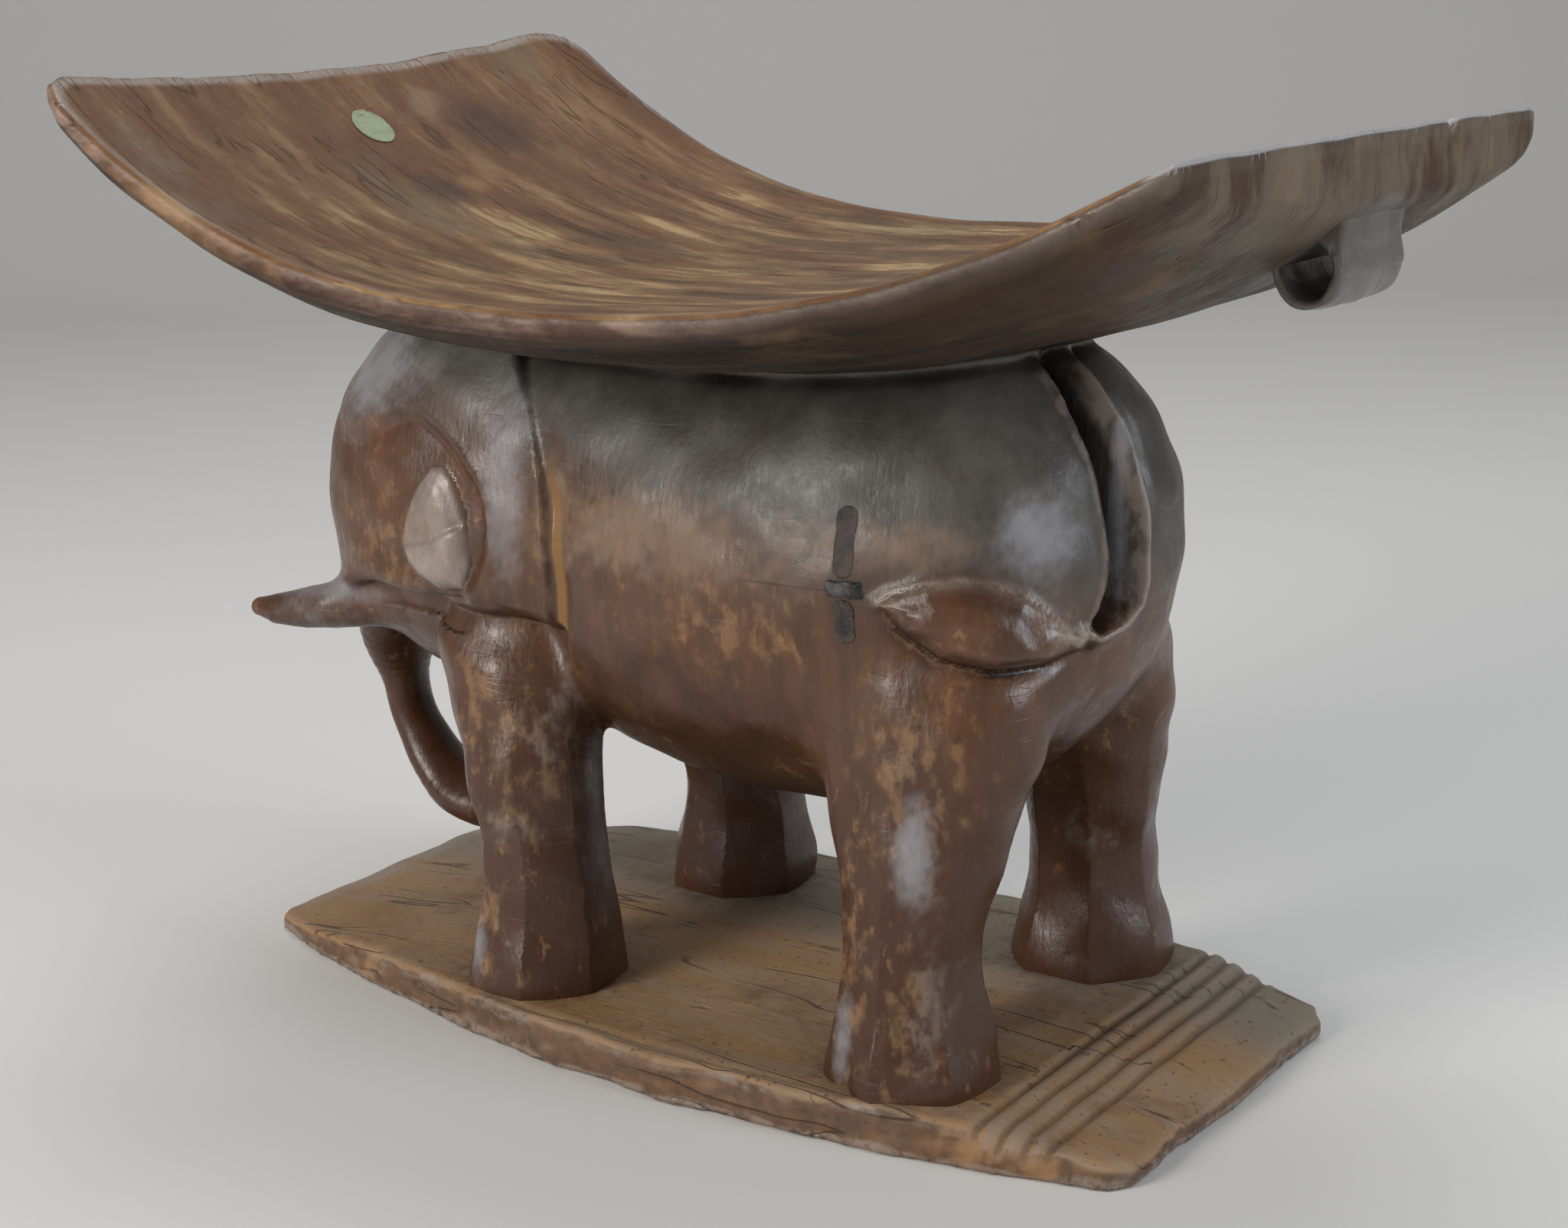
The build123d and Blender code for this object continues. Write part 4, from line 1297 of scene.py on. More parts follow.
def animal_finish():
    """Burnished brown wood under a grey patina."""
    colours = bpy.context.scene.stool_finish
    paint = Finish("burnished elephant wood")
    streaks = paint.noise(80.0, (1.0, 1.0, 0.14), 6.0, 0.6)
    grain = paint.noise(420.0, (1.0, 1.0, 0.10), 3.0, 0.6)
    cloud = paint.noise(17.0, None, 5.0, 0.6)
    fine = paint.noise(150.0, None, 6.0, 0.65)
    speckle = paint.noise(620.0, None, 3.0, 0.7)
    smear = paint.noise(150.0, (1.0, 1.0, 0.60), 6.0, 0.62)
    blotch = paint.noise(30.0, (1.0, 1.0, 0.6), 6.0, 0.62)
    scratches = paint.lines(90.0, (0.10, 0.10, 1.0), 0.010, 0.52)

    # bare wood, redder down the legs, with flecks and worn places
    wood = paint.mix(paint.fade(streaks, 0.30, 0.68, 0.30, 1.0), colours.deep, colours.brown)
    wood = paint.lay(wood, colours.deep, paint.fade(cloud, 0.36, 0.62, 0.35, 0.0))
    wood = paint.lay(wood, colours.leg_red, paint.fade(paint.height, 0.185, 0.105, 0.0, 0.85))
    flecked = paint.product(paint.fade(smear, 0.56, 0.66), paint.fade(cloud, 0.46, 0.60), 0.45)
    wood = paint.lay(wood, colours.ochre, flecked)
    bare = paint.product(paint.trait("bare"), paint.fade(smear, 0.44, 0.60), 0.42)
    wood = paint.lay(wood, colours.ochre, bare)

    # the grey coat over the upper body, kept off the face, the tuft and the channel
    level = paint.math("MULTIPLY_ADD", paint.along, COAT_SLOPE, paint.height)
    level = paint.total(level, paint.product(cloud, 0.045), paint.product(fine, 0.014))
    level = paint.math("SUBTRACT", level, paint.product(paint.trait("face"), 0.024))
    coat = paint.fade(level, 0.240, 0.290)
    coat = paint.product(coat, paint.fade(paint.trait("channel"), 0.0, 1.0, 1.0, 0.35))
    dusty = paint.mix(paint.fade(blotch, 0.34, 0.68), colours.soot, colours.patina)
    wood = paint.lay(wood, dusty, coat, 0.90)

    # places with a colour of their own, and places with painted shade and painted highlights
    # tan wood with painted sheen on the flank
    tan = paint.product(paint.trait("tan"), paint.fade(blotch, 0.36, 0.62, 0.25, 0.85))
    wood = paint.lay(wood, colours.flank_tan_and_sheen, tan)
    # painted shade darkening the deep channel beside the tail
    wood = paint.lay(wood, colours.channel, paint.trait("channel"), 0.92)
    wood = paint.lay(wood, colours.ear_wall, paint.trait("ear_wall"), 0.80)
    # pale dust, partly painted highlights and reflections
    pale = paint.product(paint.trait("pale"), paint.fade(blotch, 0.30, 0.66, 0.55, 1.0))
    wood = paint.lay(wood, colours.dust_and_highlight, pale, 0.85)
    eye = paint.product(paint.trait("eye"), paint.fade(blotch, 0.34, 0.62, 0.35, 0.85))
    wood = paint.lay(wood, colours.eye, eye)
    # the worn top of the tail's crest and the tuft's upper edge, partly a painted highlight
    tail = paint.product(paint.trait("tail"), paint.fade(fine, 0.30, 0.60, 0.45, 1.0))
    wood = paint.lay(wood, colours.crest, tail, 0.75)

    # wear on the ridges and scratches, then painted shade: darker in the hollows, with some grime,
    # and on faces turned down
    # pale scuffs, partly painted highlights
    scuffed_and_highlit = paint.product(paint.trait("scuff_and_highlight"), paint.fade(smear, 0.36, 0.60))
    wood = paint.lay(wood, colours.scuff_and_highlight, scuffed_and_highlit, 0.30)
    ridges = paint.fade(paint.trait("ridge"), 0.14, 0.50)
    worn = paint.product(ridges, paint.fade(smear, 0.36, 0.60))
    wood = paint.lay(wood, colours.rim, worn, 0.42)
    wood = paint.lay(wood, colours.scuff_and_highlight, scratches, 0.08)
    wood = paint.lay(wood, colours.deep, paint.fade(speckle, 0.60, 0.72), 0.35)
    # painted shade with some grime, darker the deeper the hollow
    wood = paint.lay(wood, colours.grime_and_hollow_shade, paint.fade(paint.trait("hollow"), 0.30, 0.90, 0.0, 0.88))
    # painted shade on faces turned down
    wood = paint.lay(wood, colours.shade, paint.fade(paint.trait("upward"), -0.2, -0.95, 0.0, 0.6))

    # the crack that the staple holds
    drop = paint.total(paint.off(paint.height, CRACK_HEIGHT), paint.product(fine, 0.0010))
    near = paint.fade(paint.off(paint.along, CRACK_MIDDLE), 0.036, 0.028)
    crack = paint.product(
        paint.fade(drop, 0.0012, 0.0006), near, paint.fade(paint.across, -0.060, -0.070)
    )
    wood = paint.lay(wood, colours.deep, crack, 0.7)

    gloss = paint.total(
        paint.fade(coat, 0.0, 1.0, 0.30, 0.44), paint.fade(fine, 0.3, 0.7, -0.06, 0.12)
    )
    relief = paint.relief(fine, grain, scratches, (0.5, 0.35, 0.08))
    return paint.done(wood, gloss, relief, 0.0006)


# One row each: a knot's place on the seat in metres, its radius and its colour's name.
SEAT_KNOTS = (
    ((-0.170, -0.012, 0.345), 0.008, "deep"),
    ((-0.172, 0.008, 0.345), 0.004, "ochre"),
    ((-0.232, 0.041, 0.380), 0.005, "knot"),
    ((-0.224, 0.034, 0.374), 0.004, "knot"),
    ((-0.205, 0.062, 0.368), 0.014, "deep"),
)
HANDLED_LOOP = (0.241, 0.008, 0.328)


def seat_finish():
    """Worn tan wood on top, a burnished rim, and a dark underside that is partly painted shade."""
    colours = bpy.context.scene.stool_finish
    paint = Finish("worn seat wood")
    ridge, upward = paint.trait("ridge"), paint.trait("upward")
    streaks = paint.noise(50.0, (0.24, 1.0, 0.24), 6.0, 0.66)
    grain = paint.noise(520.0, (0.05, 1.0, 0.05), 3.0, 0.6)
    cloud = paint.noise(13.0, (0.7, 1.0, 0.7), 6.0, 0.62)
    patch = paint.noise(34.0, (0.45, 1.0, 0.45), 6.0, 0.62)
    fine = paint.noise(160.0, None, 6.0, 0.65)
    lines = paint.lines(46.0, (0.05, 1.0, 0.3), 0.014, 0.44)

    # the dished top: streaked along its length, redder and less worn at the head end
    wood = paint.mix(paint.fade(streaks, 0.36, 0.62), colours.seat_red, colours.seat_tan)
    wood = paint.lay(wood, colours.seat_dark, paint.fade(patch, 0.50, 0.36, 0.0, 0.65))
    head_end = paint.fade(paint.total(paint.along, paint.product(cloud, 0.16)), 0.0, -0.12)
    wood = paint.lay(wood, colours.seat_head, head_end, 0.70)
    rubbed = paint.product(paint.fade(streaks, 0.52, 0.62), paint.fade(patch, 0.44, 0.58))
    rubbed = paint.product(rubbed, paint.fade(head_end, 1.0, 0.2, 0.25, 1.0), 0.80)
    wood = paint.lay(wood, colours.seat_rubbed, rubbed)
    wood = paint.lay(wood, colours.seat_olive, paint.fade(cloud, 0.56, 0.68, 0.0, 0.40))
    for place, radius, tint in SEAT_KNOTS:
        gap = paint.total(paint.distance(place), paint.product(fine, 0.006))
        spot = paint.fade(gap, radius * 2 + 0.007, radius, 0.0, 0.6)
        wood = paint.lay(wood, getattr(colours, tint), spot)
    wood = paint.lay(wood, colours.deep, lines, 0.6)
    speck = paint.fade(paint.noise(380.0, (0.3, 1.0, 1.0), 2.0), 0.64, 0.72)
    wood = paint.lay(wood, colours.deep, speck, 0.5)

    # the underside: dark wood with painted shade, lighter towards the tail
    smoke = paint.fade(paint.noise(60.0, (0.12, 1.0, 1.0), 5.0), 0.36, 0.66)
    underside_soot_and_shade = paint.mix(smoke, colours.shade, colours.under_brown)
    underside_soot_and_shade = paint.lay(underside_soot_and_shade, colours.ochre, paint.fade(cloud, 0.52, 0.68, 0.0, 0.45))
    tail_end = paint.fade(paint.along, 0.10, 0.22)
    underside_soot_and_shade = paint.lay(underside_soot_and_shade, colours.under_tail, tail_end, 0.50)
    underside_soot_and_shade = paint.lay(underside_soot_and_shade, colours.under_streak, tail_end, paint.fade(patch, 0.54, 0.40))
    # dark wood and painted shade on faces turned down
    wood = paint.mix(paint.fade(upward, 0.0, -0.25), wood, underside_soot_and_shade)

    # the upright band along the sides: dark wood with painted shade, mottled with pale patches that
    # are partly painted highlights, darker towards the tail and along its lower edge
    side = paint.product(paint.fade(upward, 0.60, 0.30), paint.fade(upward, -0.50, -0.15))
    side = paint.product(side, paint.fade(paint.along, 0.262, 0.245))
    blaze = paint.fade(paint.noise(90.0, (0.35, 1.0, 1.0), 5.0, 0.6), 0.40, 0.62)
    # painted shade and painted highlights over the sides' own wood
    band = paint.mix(blaze, colours.band_dark_and_shade, colours.band_light_and_highlight)
    band = paint.lay(band, colours.ochre, paint.fade(patch, 0.52, 0.64, 0.0, 0.65))
    band = paint.lay(band, colours.band_tail, paint.fade(paint.along, 0.03, 0.12, 0.0, 0.8))
    wood = paint.lay(wood, band, side, 0.85)
    foot = paint.product(side, paint.fade(upward, 0.15, -0.20))
    foot = paint.product(foot, paint.fade(paint.along, -0.19, -0.10), 0.80)
    wood = paint.lay(wood, colours.band_foot, foot)

    # the burnished rim, the tail end's face, a painted highlight along the tail end's top edge, and
    # the loop
    top_side = paint.fade(upward, 0.15, 0.45)
    worn = paint.product(paint.fade(ridge, 0.10, 0.45), paint.fade(fine, 0.30, 0.52))
    worn = paint.product(worn, paint.fade(top_side, 0.0, 1.0, 0.20, 0.85))
    wood = paint.lay(wood, colours.rim, worn)
    end_face = paint.product(
        paint.fade(paint.along, 0.238, 0.252), paint.fade(upward, 0.75, 0.35), 0.88
    )
    end_tint = paint.mix(paint.fade(patch, 0.40, 0.58), colours.end_dark, colours.end_light)
    wood = paint.lay(wood, end_tint, end_face)
    # painted highlight along the tail end's top edge
    tail_rim_highlight = paint.product(
        paint.fade(paint.along, 0.249, 0.256), paint.fade(upward, 0.25, 0.55), 0.75
    )
    wood = paint.lay(wood, colours.tail_rim_highlight, tail_rim_highlight)
    handled = paint.fade(paint.distance(HANDLED_LOOP), 0.038, 0.030, 0.0, 0.6)
    wood = paint.lay(wood, colours.loop_grey, handled)

    gloss = paint.total(
        paint.fade(ridge, 0.05, 0.4, 0.52, 0.30), paint.fade(fine, 0.3, 0.7, -0.06, 0.10)
    )
    relief = paint.relief(fine, grain, lines, (0.4, 0.4, 0.6))
    sheen = paint.fade(ridge, 0.05, 0.4, 0.26, 0.60)
    return paint.done(wood, gloss, relief, 0.0008, sheen)


def groove_shares(paint, upward, fine):
    """The crowns between the base's grooves and the valleys in them."""
    cuts = bpy.context.scene.stool_base
    first, half_row = cuts.groove_start, (cuts.groove_count - 1) * cuts.groove_pitch / 2
    lean = paint.math("MULTIPLY_ADD", paint.across, GROOVE_LEAN, paint.along)
    from_cut = paint.math("PINGPONG", paint.math("SUBTRACT", lean, first), cuts.groove_pitch / 2)
    in_row = paint.fade(paint.off(lean, first + half_row), half_row + 0.0040, half_row + 0.0030)
    in_row = paint.product(in_row, paint.fade(upward, 0.2, 0.5))
    ragged = paint.total(from_cut, paint.product(fine, 0.0012))
    crown = paint.product(paint.fade(from_cut, 0.0030, 0.0046), in_row)
    valley = paint.product(paint.fade(ragged, 0.0030, 0.0012), in_row)
    return crown, valley


def base_finish():
    """Dry, dusty wood with burnished edges."""
    colours = bpy.context.scene.stool_finish
    paint = Finish("dusty base wood")
    ridge, upward = paint.trait("ridge"), paint.trait("upward")
    streaks = paint.noise(60.0, (0.12, 1.0, 1.0), 6.0, 0.62)
    grain = paint.noise(480.0, (0.06, 1.0, 1.0), 3.0, 0.6)
    cloud = paint.noise(14.0, None, 5.0, 0.6)
    fine = paint.noise(170.0, None, 6.0, 0.68)
    lines = paint.lines(40.0, (0.07, 1.0, 1.0), 0.012, 0.45)

    # dry wood, with painted shade: greyer on the far side and darker on the sides
    wood = paint.mix(paint.fade(streaks, 0.34, 0.64), colours.ochre, colours.base_tan)
    far = paint.total(paint.across, paint.product(cloud, 0.10))
    # painted shade greying the far half
    wood = paint.lay(wood, colours.base_far_shade, paint.fade(far, 0.05, 0.11, 0.0, 0.85))
    wood = paint.lay(wood, colours.brown, paint.fade(cloud, 0.56, 0.68, 0.0, 0.5))
    # painted shade darkening the sides
    dark = paint.mix(paint.fade(fine, 0.38, 0.62), colours.deep, colours.brown)
    wood = paint.lay(wood, dark, paint.fade(upward, 0.6, 0.1), 0.75)

    # cracks, specks, worn edges, trodden middle, dirt with painted contact shade at the feet, and
    # raw breaks
    wood = paint.lay(wood, colours.deep, lines, 0.7)
    speck = paint.fade(paint.noise(300.0, None, 3.0), 0.62, 0.70)
    wood = paint.lay(wood, colours.deep, speck, 0.6)
    edge = paint.product(paint.fade(ridge, 0.10, 0.40), paint.fade(fine, 0.36, 0.56))
    wood = paint.lay(wood, colours.rim, edge, 0.75)
    wood = paint.lay(wood, colours.base_worn, paint.trait("worn"), 0.6)
    # dirt and painted contact shade around the feet
    wood = paint.lay(wood, colours.deep, paint.trait("foot_dirt_and_shade"), 0.65)
    wood = paint.lay(wood, colours.ochre, paint.trait("bare"), 0.85)
    crown, valley = groove_shares(paint, upward, fine)
    wood = paint.lay(wood, colours.rim, crown, 0.7)
    wood = paint.lay(wood, colours.deep, valley, 0.46)

    gloss = paint.fade(ridge, 0.05, 0.4, 0.70, 0.36)
    relief = paint.relief(fine, grain, lines, (0.5, 0.4, 0.6))
    return paint.done(wood, gloss, relief, 0.0010)


def small_finish(name, light, dark, scale, roughness, depth, metallic=0.0):
    """A mottled finish for one of the small fittings."""
    paint = Finish(name)
    cloud = paint.noise(scale, None, 5.0, 0.65)
    fine = paint.noise(scale * 6, None, 4.0, 0.6)
    mottled = paint.mix(paint.fade(cloud, 0.38, 0.64), dark, light)
    mottled = paint.lay(mottled, dark, paint.fade(fine, 0.60, 0.72, 0.0, 0.4))
    paint.feed(paint.shader.inputs["Metallic"], metallic)
    gloss = paint.fade(cloud, 0.3, 0.7, roughness - 0.08, roughness + 0.12)
    return paint.done(mottled, gloss, fine, depth)


# ---- operators --------------------------------------------------------------------------------
def animal_traits(points, normals):
    """What the animal's finish has to know about each point."""
    x, y, z = points.T
    traits = surface_traits(body_form, points, normals)
    traits["ridge"] = traits["ridge"] * ease(seat_underside(x, y) - z, 3, 12)
    behind = x - ear_rear(z)
    by_ear = (np.abs(y) > 40) * (z > 176) * (z < 262)
    by_ear = (1 - ease(np.abs(behind - 2.5), 4, 9)) * by_ear
    traits["hollow"] = traits["hollow"] * (1 - 0.55 * by_ear)
    traits["ear_wall"] = by_ear * ease(behind, 0, 3) * (1 - ease(z, 225, 255))
    traits["bare"] = place_share(points, BARE_PLACES, 31)
    traits["scuff_and_highlight"] = place_share(points, SCUFF_AND_HIGHLIGHT_PLACES, 33)
    traits["pale"] = place_share(points, PALE_AND_HIGHLIGHT_PLACES, 35, 0.35)
    traits["tan"] = place_share(points, TAN_AND_SHEEN_PLACES, 37, 0.45)
    leaf = ease(leaf_depth(x, y, z), -4, 3) * ease(-y, 18, 36) * (x > 80)
    traits["face"] = ease(outline_depth(x, z, FACE), 0, 4) * (x < -60) + 2.4 * leaf
    traits["eye"] = ease(outline_depth(x, z, EYE), -1, 3) * (x < -60)
    traits["tail"] = tail_share(points, normals)
    traits["channel"] = channel_share(points)
    return traits


class STOOL_OT_carve_animal(bpy.types.Operator):
    """Carve the elephant and part it along its carved forms"""

    bl_idname = "stool.carve_animal"
    bl_label = "Carve Elephant"

    def execute(self, context):
        cell = context.scene.stool_carving.grain / MM * SPACING
        points, faces, normals = skin(body_form, (-264, -112, 10), (190, 112, 330), cell)
        centres = points[faces].mean(axis=1)
        numbers = settle_numbers(faces, part_numbers(centres), len(points))
        traits = animal_traits(points, normals)
        finish = animal_finish()
        count = len(points)
        # Each point has a twin below the surface, for the backs of the plates.
        all_points = np.concatenate([points, points - normals * PLATE_DEPTH])
        for part, name in enumerate(BODY_PARTS):
            own_faces, side = part_faces(part, faces, numbers, count)
            used, flat = np.unique(own_faces, return_inverse=True)
            own_faces = flat.reshape(own_faces.shape)
            own_points = all_points[used]
            own_normals = np.concatenate([normals, normals * side])[used]
            own_points, own_faces, own_normals = closed(own_points, own_faces, own_normals)
            piece = mesh_piece(f"{name}_carving", own_points, own_faces, finish, own_normals)
            outer = used[used < count]
            store_traits(piece, {key: values[outer] for key, values in traits.items()})
            finish_piece(piece, "body_wood", name)
        return {"FINISHED"}


class STOOL_OT_carve_seat(bpy.types.Operator):
    """Carve the curved seat and the loop under its tail end"""

    bl_idname = "stool.carve_seat"
    bl_label = "Carve Seat"

    def execute(self, context):
        finish = seat_finish()
        grain = context.scene.stool_seat.grain / MM
        for name, form, corners, spacing in (
            ("seat", seat_form, ((-266, -178, 270), (272, 178, 416)), grain),
            ("seat_loop", loop_form, ((222, -26, 312), (262, 42, 356)), LOOP_GRAIN),
        ):
            piece = skinned_piece(f"{name}_carving", form, corners, spacing * SPACING, finish)
            finish_piece(piece, "seat_wood", name)
        return {"FINISHED"}


def groove_nodes():
    """A node group that cuts the row of grooves across the base's tail end."""
    tree = bpy.data.node_groups.new("cross grooves", "GeometryNodeTree")
    sockets = {}
    for name, kind in (
        ("Geometry", "NodeSocketGeometry"),
        ("Count", "NodeSocketInt"),
        ("Start", "NodeSocketFloat"),
        ("Pitch", "NodeSocketFloat"),
        ("Width", "NodeSocketFloat"),
        ("Depth", "NodeSocketFloat"),
        ("Finish", "NodeSocketMaterial"),
    ):
        sockets[name] = tree.interface.new_socket(name, in_out="INPUT", socket_type=kind)
    tree.interface.new_socket("Geometry", in_out="OUTPUT", socket_type="NodeSocketGeometry")
    entry, leave = tree.nodes.new("NodeGroupInput"), tree.nodes.new("NodeGroupOutput")

    def math(kind, first, second=0.0, third=0.0):
        node = tree.nodes.new("ShaderNodeMath")
        node.operation = kind
        for socket, value in zip(node.inputs, (first, second, third)):
            if isinstance(value, bpy.types.NodeSocket):
                tree.links.new(value, socket)
            else:
                socket.default_value = value
        return node.outputs[0]

    split = tree.nodes.new("ShaderNodeSeparateXYZ")
    tree.links.new(tree.nodes.new("GeometryNodeInputPosition").outputs[0], split.inputs[0])
    along, across, up = split.outputs
    lean = math("MULTIPLY_ADD", across, GROOVE_LEAN, along)
    steps = math("DIVIDE", math("SUBTRACT", lean, entry.outputs["Start"]), entry.outputs["Pitch"])
    turn = math("ROUND", steps)
    gap = math("MULTIPLY", math("ABSOLUTE", math("SUBTRACT", steps, turn)), entry.outputs["Pitch"])
    share = math("DIVIDE", gap, math("MULTIPLY", entry.outputs["Width"], 0.5))
    bowl = math("EXPONENT", math("MULTIPLY", math("MULTIPLY", share, share), -1.6))
    past_first = math("GREATER_THAN", turn, -0.5)
    before_end = math("LESS_THAN", turn, math("SUBTRACT", entry.outputs["Count"], 0.5))
    on_top = math("GREATER_THAN", up, 0.0055)
    among = math("MULTIPLY", past_first, before_end)
    drop = math("MULTIPLY", math("MULTIPLY", bowl, on_top), among)
    drop = math("MULTIPLY", math("MULTIPLY", drop, entry.outputs["Depth"]), -1.0)
    offset = tree.nodes.new("ShaderNodeCombineXYZ")
    tree.links.new(drop, offset.inputs["Z"])
    move = tree.nodes.new("GeometryNodeSetPosition")
    tree.links.new(entry.outputs["Geometry"], move.inputs["Geometry"])
    tree.links.new(offset.outputs[0], move.inputs["Offset"])
    real = tree.nodes.new("GeometryNodeRealizeInstances")
    tree.links.new(move.outputs[0], real.inputs[0])
    paint = tree.nodes.new("GeometryNodeSetMaterial")
    tree.links.new(real.outputs[0], paint.inputs["Geometry"])
    tree.links.new(entry.outputs["Finish"], paint.inputs["Material"])
    tree.links.new(paint.outputs[0], leave.inputs[0])
    return tree, sockets


class STOOL_OT_carve_base(bpy.types.Operator):
    """Shape the base plank and cut the grooves across its tail end"""

    bl_idname = "stool.carve_base"
    bl_label = "Shape Base"

    def execute(self, context):
        settings = context.scene.stool_base
        cell = settings.grain / MM * SPACING
        points, faces, normals = skin(base_form, (-268, -126, -3), (222, 126, 24), cell)
        finish = base_finish()
        piece = mesh_piece("base_plank", points, faces.tolist(), finish)
        traits = surface_traits(base_form, points, normals)
        traits["bare"] = place_share(points, RAW_BREAKS, 41)
        # dirt and painted contact shade around the feet
        traits["foot_dirt_and_shade"] = place_share(points, FOOT_PLACES, 43, 0.5)
        traits["worn"] = place_share(points, TRODDEN_PLACES, 45)
        traits["worn"] = traits["worn"] * place_share(points, TRODDEN_PLACES, 47)
        store_traits(piece, traits)
        tree, sockets = groove_nodes()
        grooves = piece.modifiers.new("Grooves", "NODES")
        grooves.node_group = tree
        for name in ("Count", "Start", "Pitch", "Width", "Depth"):
            setting = getattr(settings, f"groove_{name.lower()}")
            grooves[sockets[name].identifier] = setting
        grooves[sockets["Finish"].identifier] = finish
        ready = piece.evaluated_get(context.evaluated_depsgraph_get())
        cut = bpy.data.meshes.new_from_object(ready)
        piece.modifiers.remove(grooves)
        piece.data = cut
        finish_piece(piece, "base_wood", "base")
        return {"FINISHED"}


def flank(x, y, z):
    """The wood around the repairs: the barrel and the thigh, with the adze's marks."""
    thigh = leg_form(x, y, z, LEFT_HIND_LEG, -1, LEFT_HIND_TURN)
    return join(torso_form(x, y, z), thigh, HIND_BLEND) + body_waves(x, y, z)


def strip_form(foot, top):
    """The form of one repair strip between two heights."""

    def form(x, y, z):
        across = strip_outline(x, z, foot, top) + 0.15 * tool_waves(x, y, z, 7, 51)
        face = flank(x, y, z) - STRIP_PROUD + 0.12 * tool_waves(x, y, z, 6, 52)
        return common(common(across, face, 0.3), -flank(x, y, z) - STRIP_DEPTH, 0.5)

    return form


def staple_form(x, y, z):
    """The staple's bar on the flank and its two prongs in the wood."""
    along, up = np.abs(x - STAPLE_X), np.abs(z - STAPLE_Z)
    bar = np.maximum(along - 6.4, up - 3.0) + 0.35 * tool_waves(x, y, z, 6, 53)
    proud = np.abs(flank(x, y, z) - 0.2) - 1.6
    prongs = np.maximum(np.abs(along - 4.5) - 1.9, up - 1.9)
    prongs = np.maximum(prongs, np.abs(flank(x, y, z) + 4.5) - 5.0)
    return join(common(bar, proud, 1.2), prongs, 0.8)


LABEL_PLACE = (-217.8, -6.0)
LABEL_HALF_LENGTH = 11.5
LABEL_HALF_WIDTH = 9.3
LABEL_HALF_THICKNESS = 0.3


def label_form(x, y, z):
    """The oval paper on the seat, with a slightly lifted edge."""
    ahead, out = x - LABEL_PLACE[0], y - LABEL_PLACE[1]
    ring = np.hypot(
        (ahead * 0.8 - out * 0.6) / LABEL_HALF_LENGTH,
        (ahead * 0.6 + out * 0.8) / LABEL_HALF_WIDTH,
    )
    oval = (ring - 1) * LABEL_HALF_WIDTH + 0.12 * tool_waves(x, y, z, 5, 61)
    lift = 0.45 * ease(ring, 0.6, 1.0)
    slope = (seat_top(x + 1, y) - seat_top(x - 1, y)) / 2
    height = (z - seat_top(x, y) - seat_waves(x, y, z)) / np.sqrt(1 + slope**2)
    return common(oval, np.abs(height - 0.35 - lift * 0.3) - LABEL_HALF_THICKNESS, 0.2)


REPAIR_GRAIN = 0.6
LABEL_GRAIN = 0.45


class STOOL_OT_fit_repairs(bpy.types.Operator):
    """Lay in the two repair strips and the iron staple between them"""

    bl_idname = "stool.fit_repairs"
    bl_label = "Fit Repairs"

    def execute(self, context):
        colours = context.scene.stool_finish
        filler = small_finish(
            "dark repair filler", colours.inlay, colours.inlay_dark, 120.0, 0.55, 0.0007
        )
        iron = small_finish(
            "forged staple iron", colours.iron, colours.iron_dark, 160.0, 0.48, 0.0006, 0.55
        )
        for name, form, foot, top, finish, slot_name in (
            ("repair_inlay_upper", strip_form(*UPPER_STRIP), 212, 250, filler, "inlay"),
            ("repair_inlay_lower", strip_form(*LOWER_STRIP), 186, 214, filler, "inlay"),
            ("iron_staple", staple_form, 206, 222, iron, "iron"),
        ):
            low, high = (80, -98, foot), (102, -70, top)
            points, faces, normals = skin(form, low, high, REPAIR_GRAIN)
            piece = mesh_piece(f"{name}_piece", points, faces.tolist(), finish, normals)
            finish_piece(piece, slot_name, name)
        return {"FINISHED"}


class STOOL_OT_stick_label(bpy.types.Operator):
    """Lay the bare paper label on the head end of the seat"""

    bl_idname = "stool.stick_label"
    bl_label = "Stick Label"

    def execute(self, context):
        colours = context.scene.stool_finish
        finish = small_finish(
            "bare label paper", colours.paper, colours.paper_dark, 130.0, 0.75, 0.0002
        )
        low, high = (-231, -20, 350), (-204, 8, 400)
        points, faces, normals = skin(label_form, low, high, LABEL_GRAIN)
        piece = mesh_piece("paper_label_oval", points, faces.tolist(), finish, normals)
        finish_piece(piece, "label_paper", "paper_label")
        return {"FINISHED"}


# Where the camera stands, in metres, and how it is turned, tilted and rolled, in degrees.
CAMERA_PLACE = (0.6319, -0.8676, 0.4515)
CAMERA_ANGLES = (36.12, 14.57, -1.43)
# The floor runs back to a bend of this radius and up behind the stool.
FLOOR_FRONT = -4.0
BEND_START = 2.2
BEND_RADIUS = 1.2
BACKDROP_TOP = 5.0
BEND_STEPS = 24
# One row each: a lamp, its place, what it looks at, its size and its tint.
LAMPS = (
    ("key_lamp", (-0.8, -2.1, 1.05), (0, 0, 0.2), 1.1, (1, 0.97, 0.93)),
    ("side_lamp", (2.1, 0.2, 0.9), (0.05, 0, 0.2), 0.9, (0.85, 0.92, 1)),
    ("top_lamp", (-0.3, 0.7, 2.2), (0, 0, 0.3), 1.2, (0.97, 0.98, 1)),
)


def linked(name, data):
    """A new object in the scene."""
    thing = bpy.data.objects.new(name, data)
    bpy.context.scene.collection.objects.link(thing)
    return thing


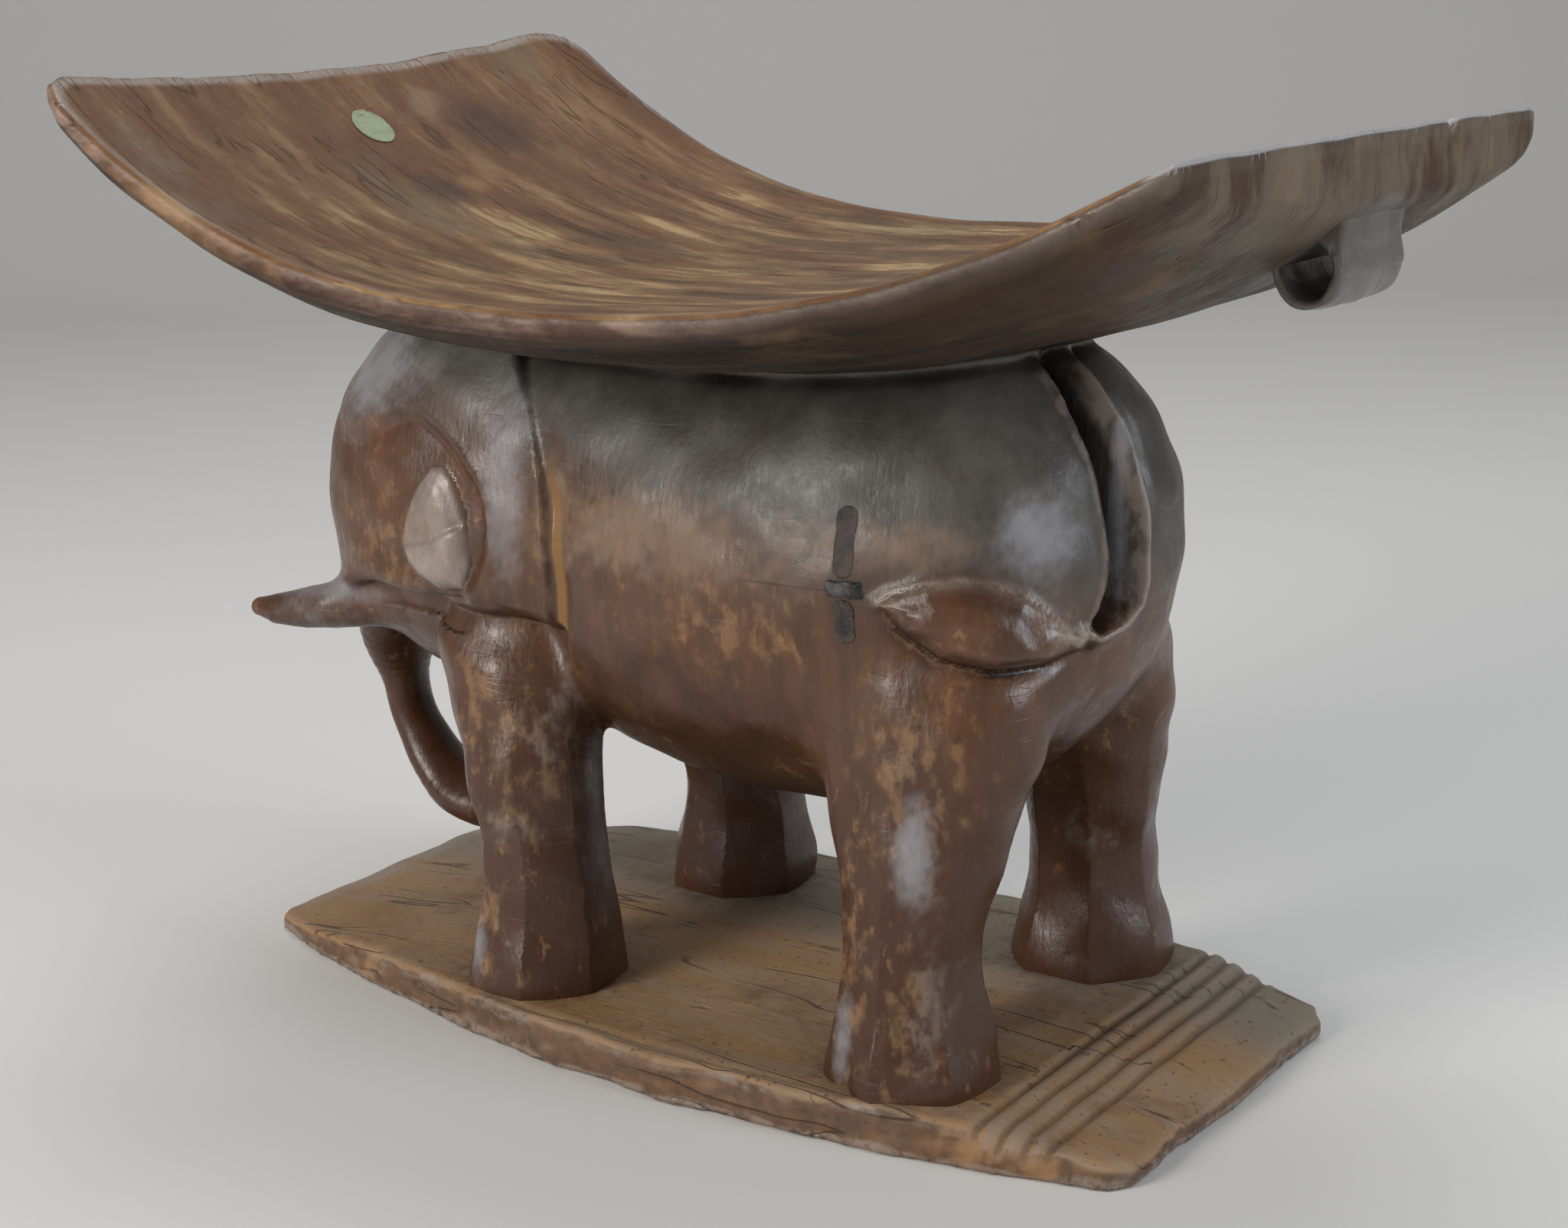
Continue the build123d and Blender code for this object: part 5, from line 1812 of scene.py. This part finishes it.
def paper_sweep(floor):
    """The plain floor, which bends up behind the stool."""
    plain = bpy.data.materials.new("plain paper floor")
    plain.use_nodes = True
    shader = plain.node_tree.nodes["Principled BSDF"]
    shader.inputs["Base Color"].default_value = (*floor, 1)
    shader.inputs["Roughness"].default_value = 0.9
    angles = [pi / 2 * step / BEND_STEPS for step in range(BEND_STEPS + 1)]
    profile = [(FLOOR_FRONT, 0.0)]
    profile += [
        (BEND_START + BEND_RADIUS * sin(angle), BEND_RADIUS - BEND_RADIUS * cos(angle))
        for angle in angles
    ]
    profile += [(BEND_START + BEND_RADIUS, BACKDROP_TOP)]
    turn = Matrix.Rotation(radians(36), 3, "Z")
    corners = [turn @ Vector((side, ahead, up)) for ahead, up in profile for side in (-5, 5)]
    sheets = [(2 * i, 2 * i + 1, 2 * i + 3, 2 * i + 2) for i in range(len(profile) - 1)]
    mesh = bpy.data.meshes.new("paper_sweep")
    mesh.from_pydata([tuple(corner) for corner in corners], [], sheets)
    mesh.polygons.foreach_set("use_smooth", [True] * len(mesh.polygons))
    mesh.materials.append(plain)
    sweep = linked("paper_sweep", mesh)
    sweep.location = (0, 0, -0.0005)
    return sweep


def soft_lamp(name, place, target, size, tint, power):
    """A round lamp that looks from its place at a target."""
    data = bpy.data.lights.new(name, "AREA")
    data.shape = "DISK"
    data.size = size
    data.energy = power
    data.color = tint
    lamp = linked(name, data)
    lamp.location = place
    way = Vector(target) - Vector(place)
    lamp.rotation_euler = way.to_track_quat("-Z", "Y").to_euler()
    return lamp


def aimed_camera(lens):
    """The camera at its place, looking along its angles."""
    turn, tilt, roll = (radians(angle) for angle in CAMERA_ANGLES)
    ahead = Vector((-sin(turn) * cos(tilt), cos(turn) * cos(tilt), -sin(tilt)))
    right = Vector((cos(turn), sin(turn), 0))
    up = right.cross(ahead)
    across = right * cos(roll) + up * sin(roll)
    upright = -right * sin(roll) + up * cos(roll)
    data = bpy.data.cameras.new("lens")
    data.lens = lens
    data.sensor_width = 36
    camera = linked("lens", data)
    facing = Matrix((across, upright, -ahead)).transposed().to_4x4()
    camera.matrix_world = Matrix.Translation(CAMERA_PLACE) @ facing
    return camera


class STOOL_OT_set_stage(bpy.types.Operator):
    """Put up the floor, the soft lamps and the camera"""

    bl_idname = "stool.set_stage"
    bl_label = "Set Stage"

    def execute(self, context):
        scene = context.scene
        settings = scene.stool_stage
        paper_sweep(settings.floor)
        powers = (settings.key_power, settings.side_power, settings.top_power)
        for lamp, power in zip(LAMPS, powers):
            soft_lamp(*lamp, power)
        world = bpy.data.worlds.new("even light")
        world.use_nodes = True
        sky = world.node_tree.nodes["Background"]
        sky.inputs["Color"].default_value = (1, 1, 1, 1)
        sky.inputs["Strength"].default_value = settings.sky
        scene.world = world
        scene.view_settings.view_transform = "Standard"
        scene.camera = aimed_camera(settings.lens)
        return {"FINISHED"}


class STOOL_PT_sidebar(bpy.types.Panel):
    """The stool's settings and steps"""

    bl_idname = "STOOL_PT_sidebar"
    bl_label = "Carved Elephant Stool"
    bl_space_type = "VIEW_3D"
    bl_region_type = "UI"
    bl_category = "Stool"

    def draw(self, context):
        for operator, group in STEPS:
            box = self.layout.box()
            box.operator(operator.bl_idname)
            settings = getattr(context.scene, group)
            for setting in settings.bl_rna.properties:
                if setting.identifier not in ("rna_type", "name"):
                    box.prop(settings, setting.identifier)


GROUPS = {
    "stool_carving": CarvingSettings,
    "stool_seat": SeatSettings,
    "stool_base": BaseSettings,
    "stool_finish": FinishSettings,
    "stool_stage": StageSettings,
}
STEPS = (
    (STOOL_OT_carve_animal, "stool_carving"),
    (STOOL_OT_carve_seat, "stool_seat"),
    (STOOL_OT_carve_base, "stool_base"),
    (STOOL_OT_fit_repairs, "stool_finish"),
    (STOOL_OT_stick_label, "stool_finish"),
    (STOOL_OT_set_stage, "stool_stage"),
)
CLASSES = (*GROUPS.values(), *(operator for operator, _ in STEPS), STOOL_PT_sidebar)


def register():
    """Add the settings, the steps and the panel."""
    for kind in CLASSES:
        bpy.utils.register_class(kind)
    for name, kind in GROUPS.items():
        setattr(bpy.types.Scene, name, PointerProperty(type=kind))


def unregister():
    """Take them away again."""
    for name in GROUPS:
        delattr(bpy.types.Scene, name)
    for kind in reversed(CLASSES):
        bpy.utils.unregister_class(kind)


def main():
    """Build the stool step by step."""
    register()
    bpy.ops.stool.carve_animal()
    bpy.ops.stool.carve_seat()
    bpy.ops.stool.carve_base()
    bpy.ops.stool.fit_repairs()
    bpy.ops.stool.stick_label()
    bpy.ops.stool.set_stage()
    bpy.context.view_layer.update()


if __name__ == "__main__":
    main()
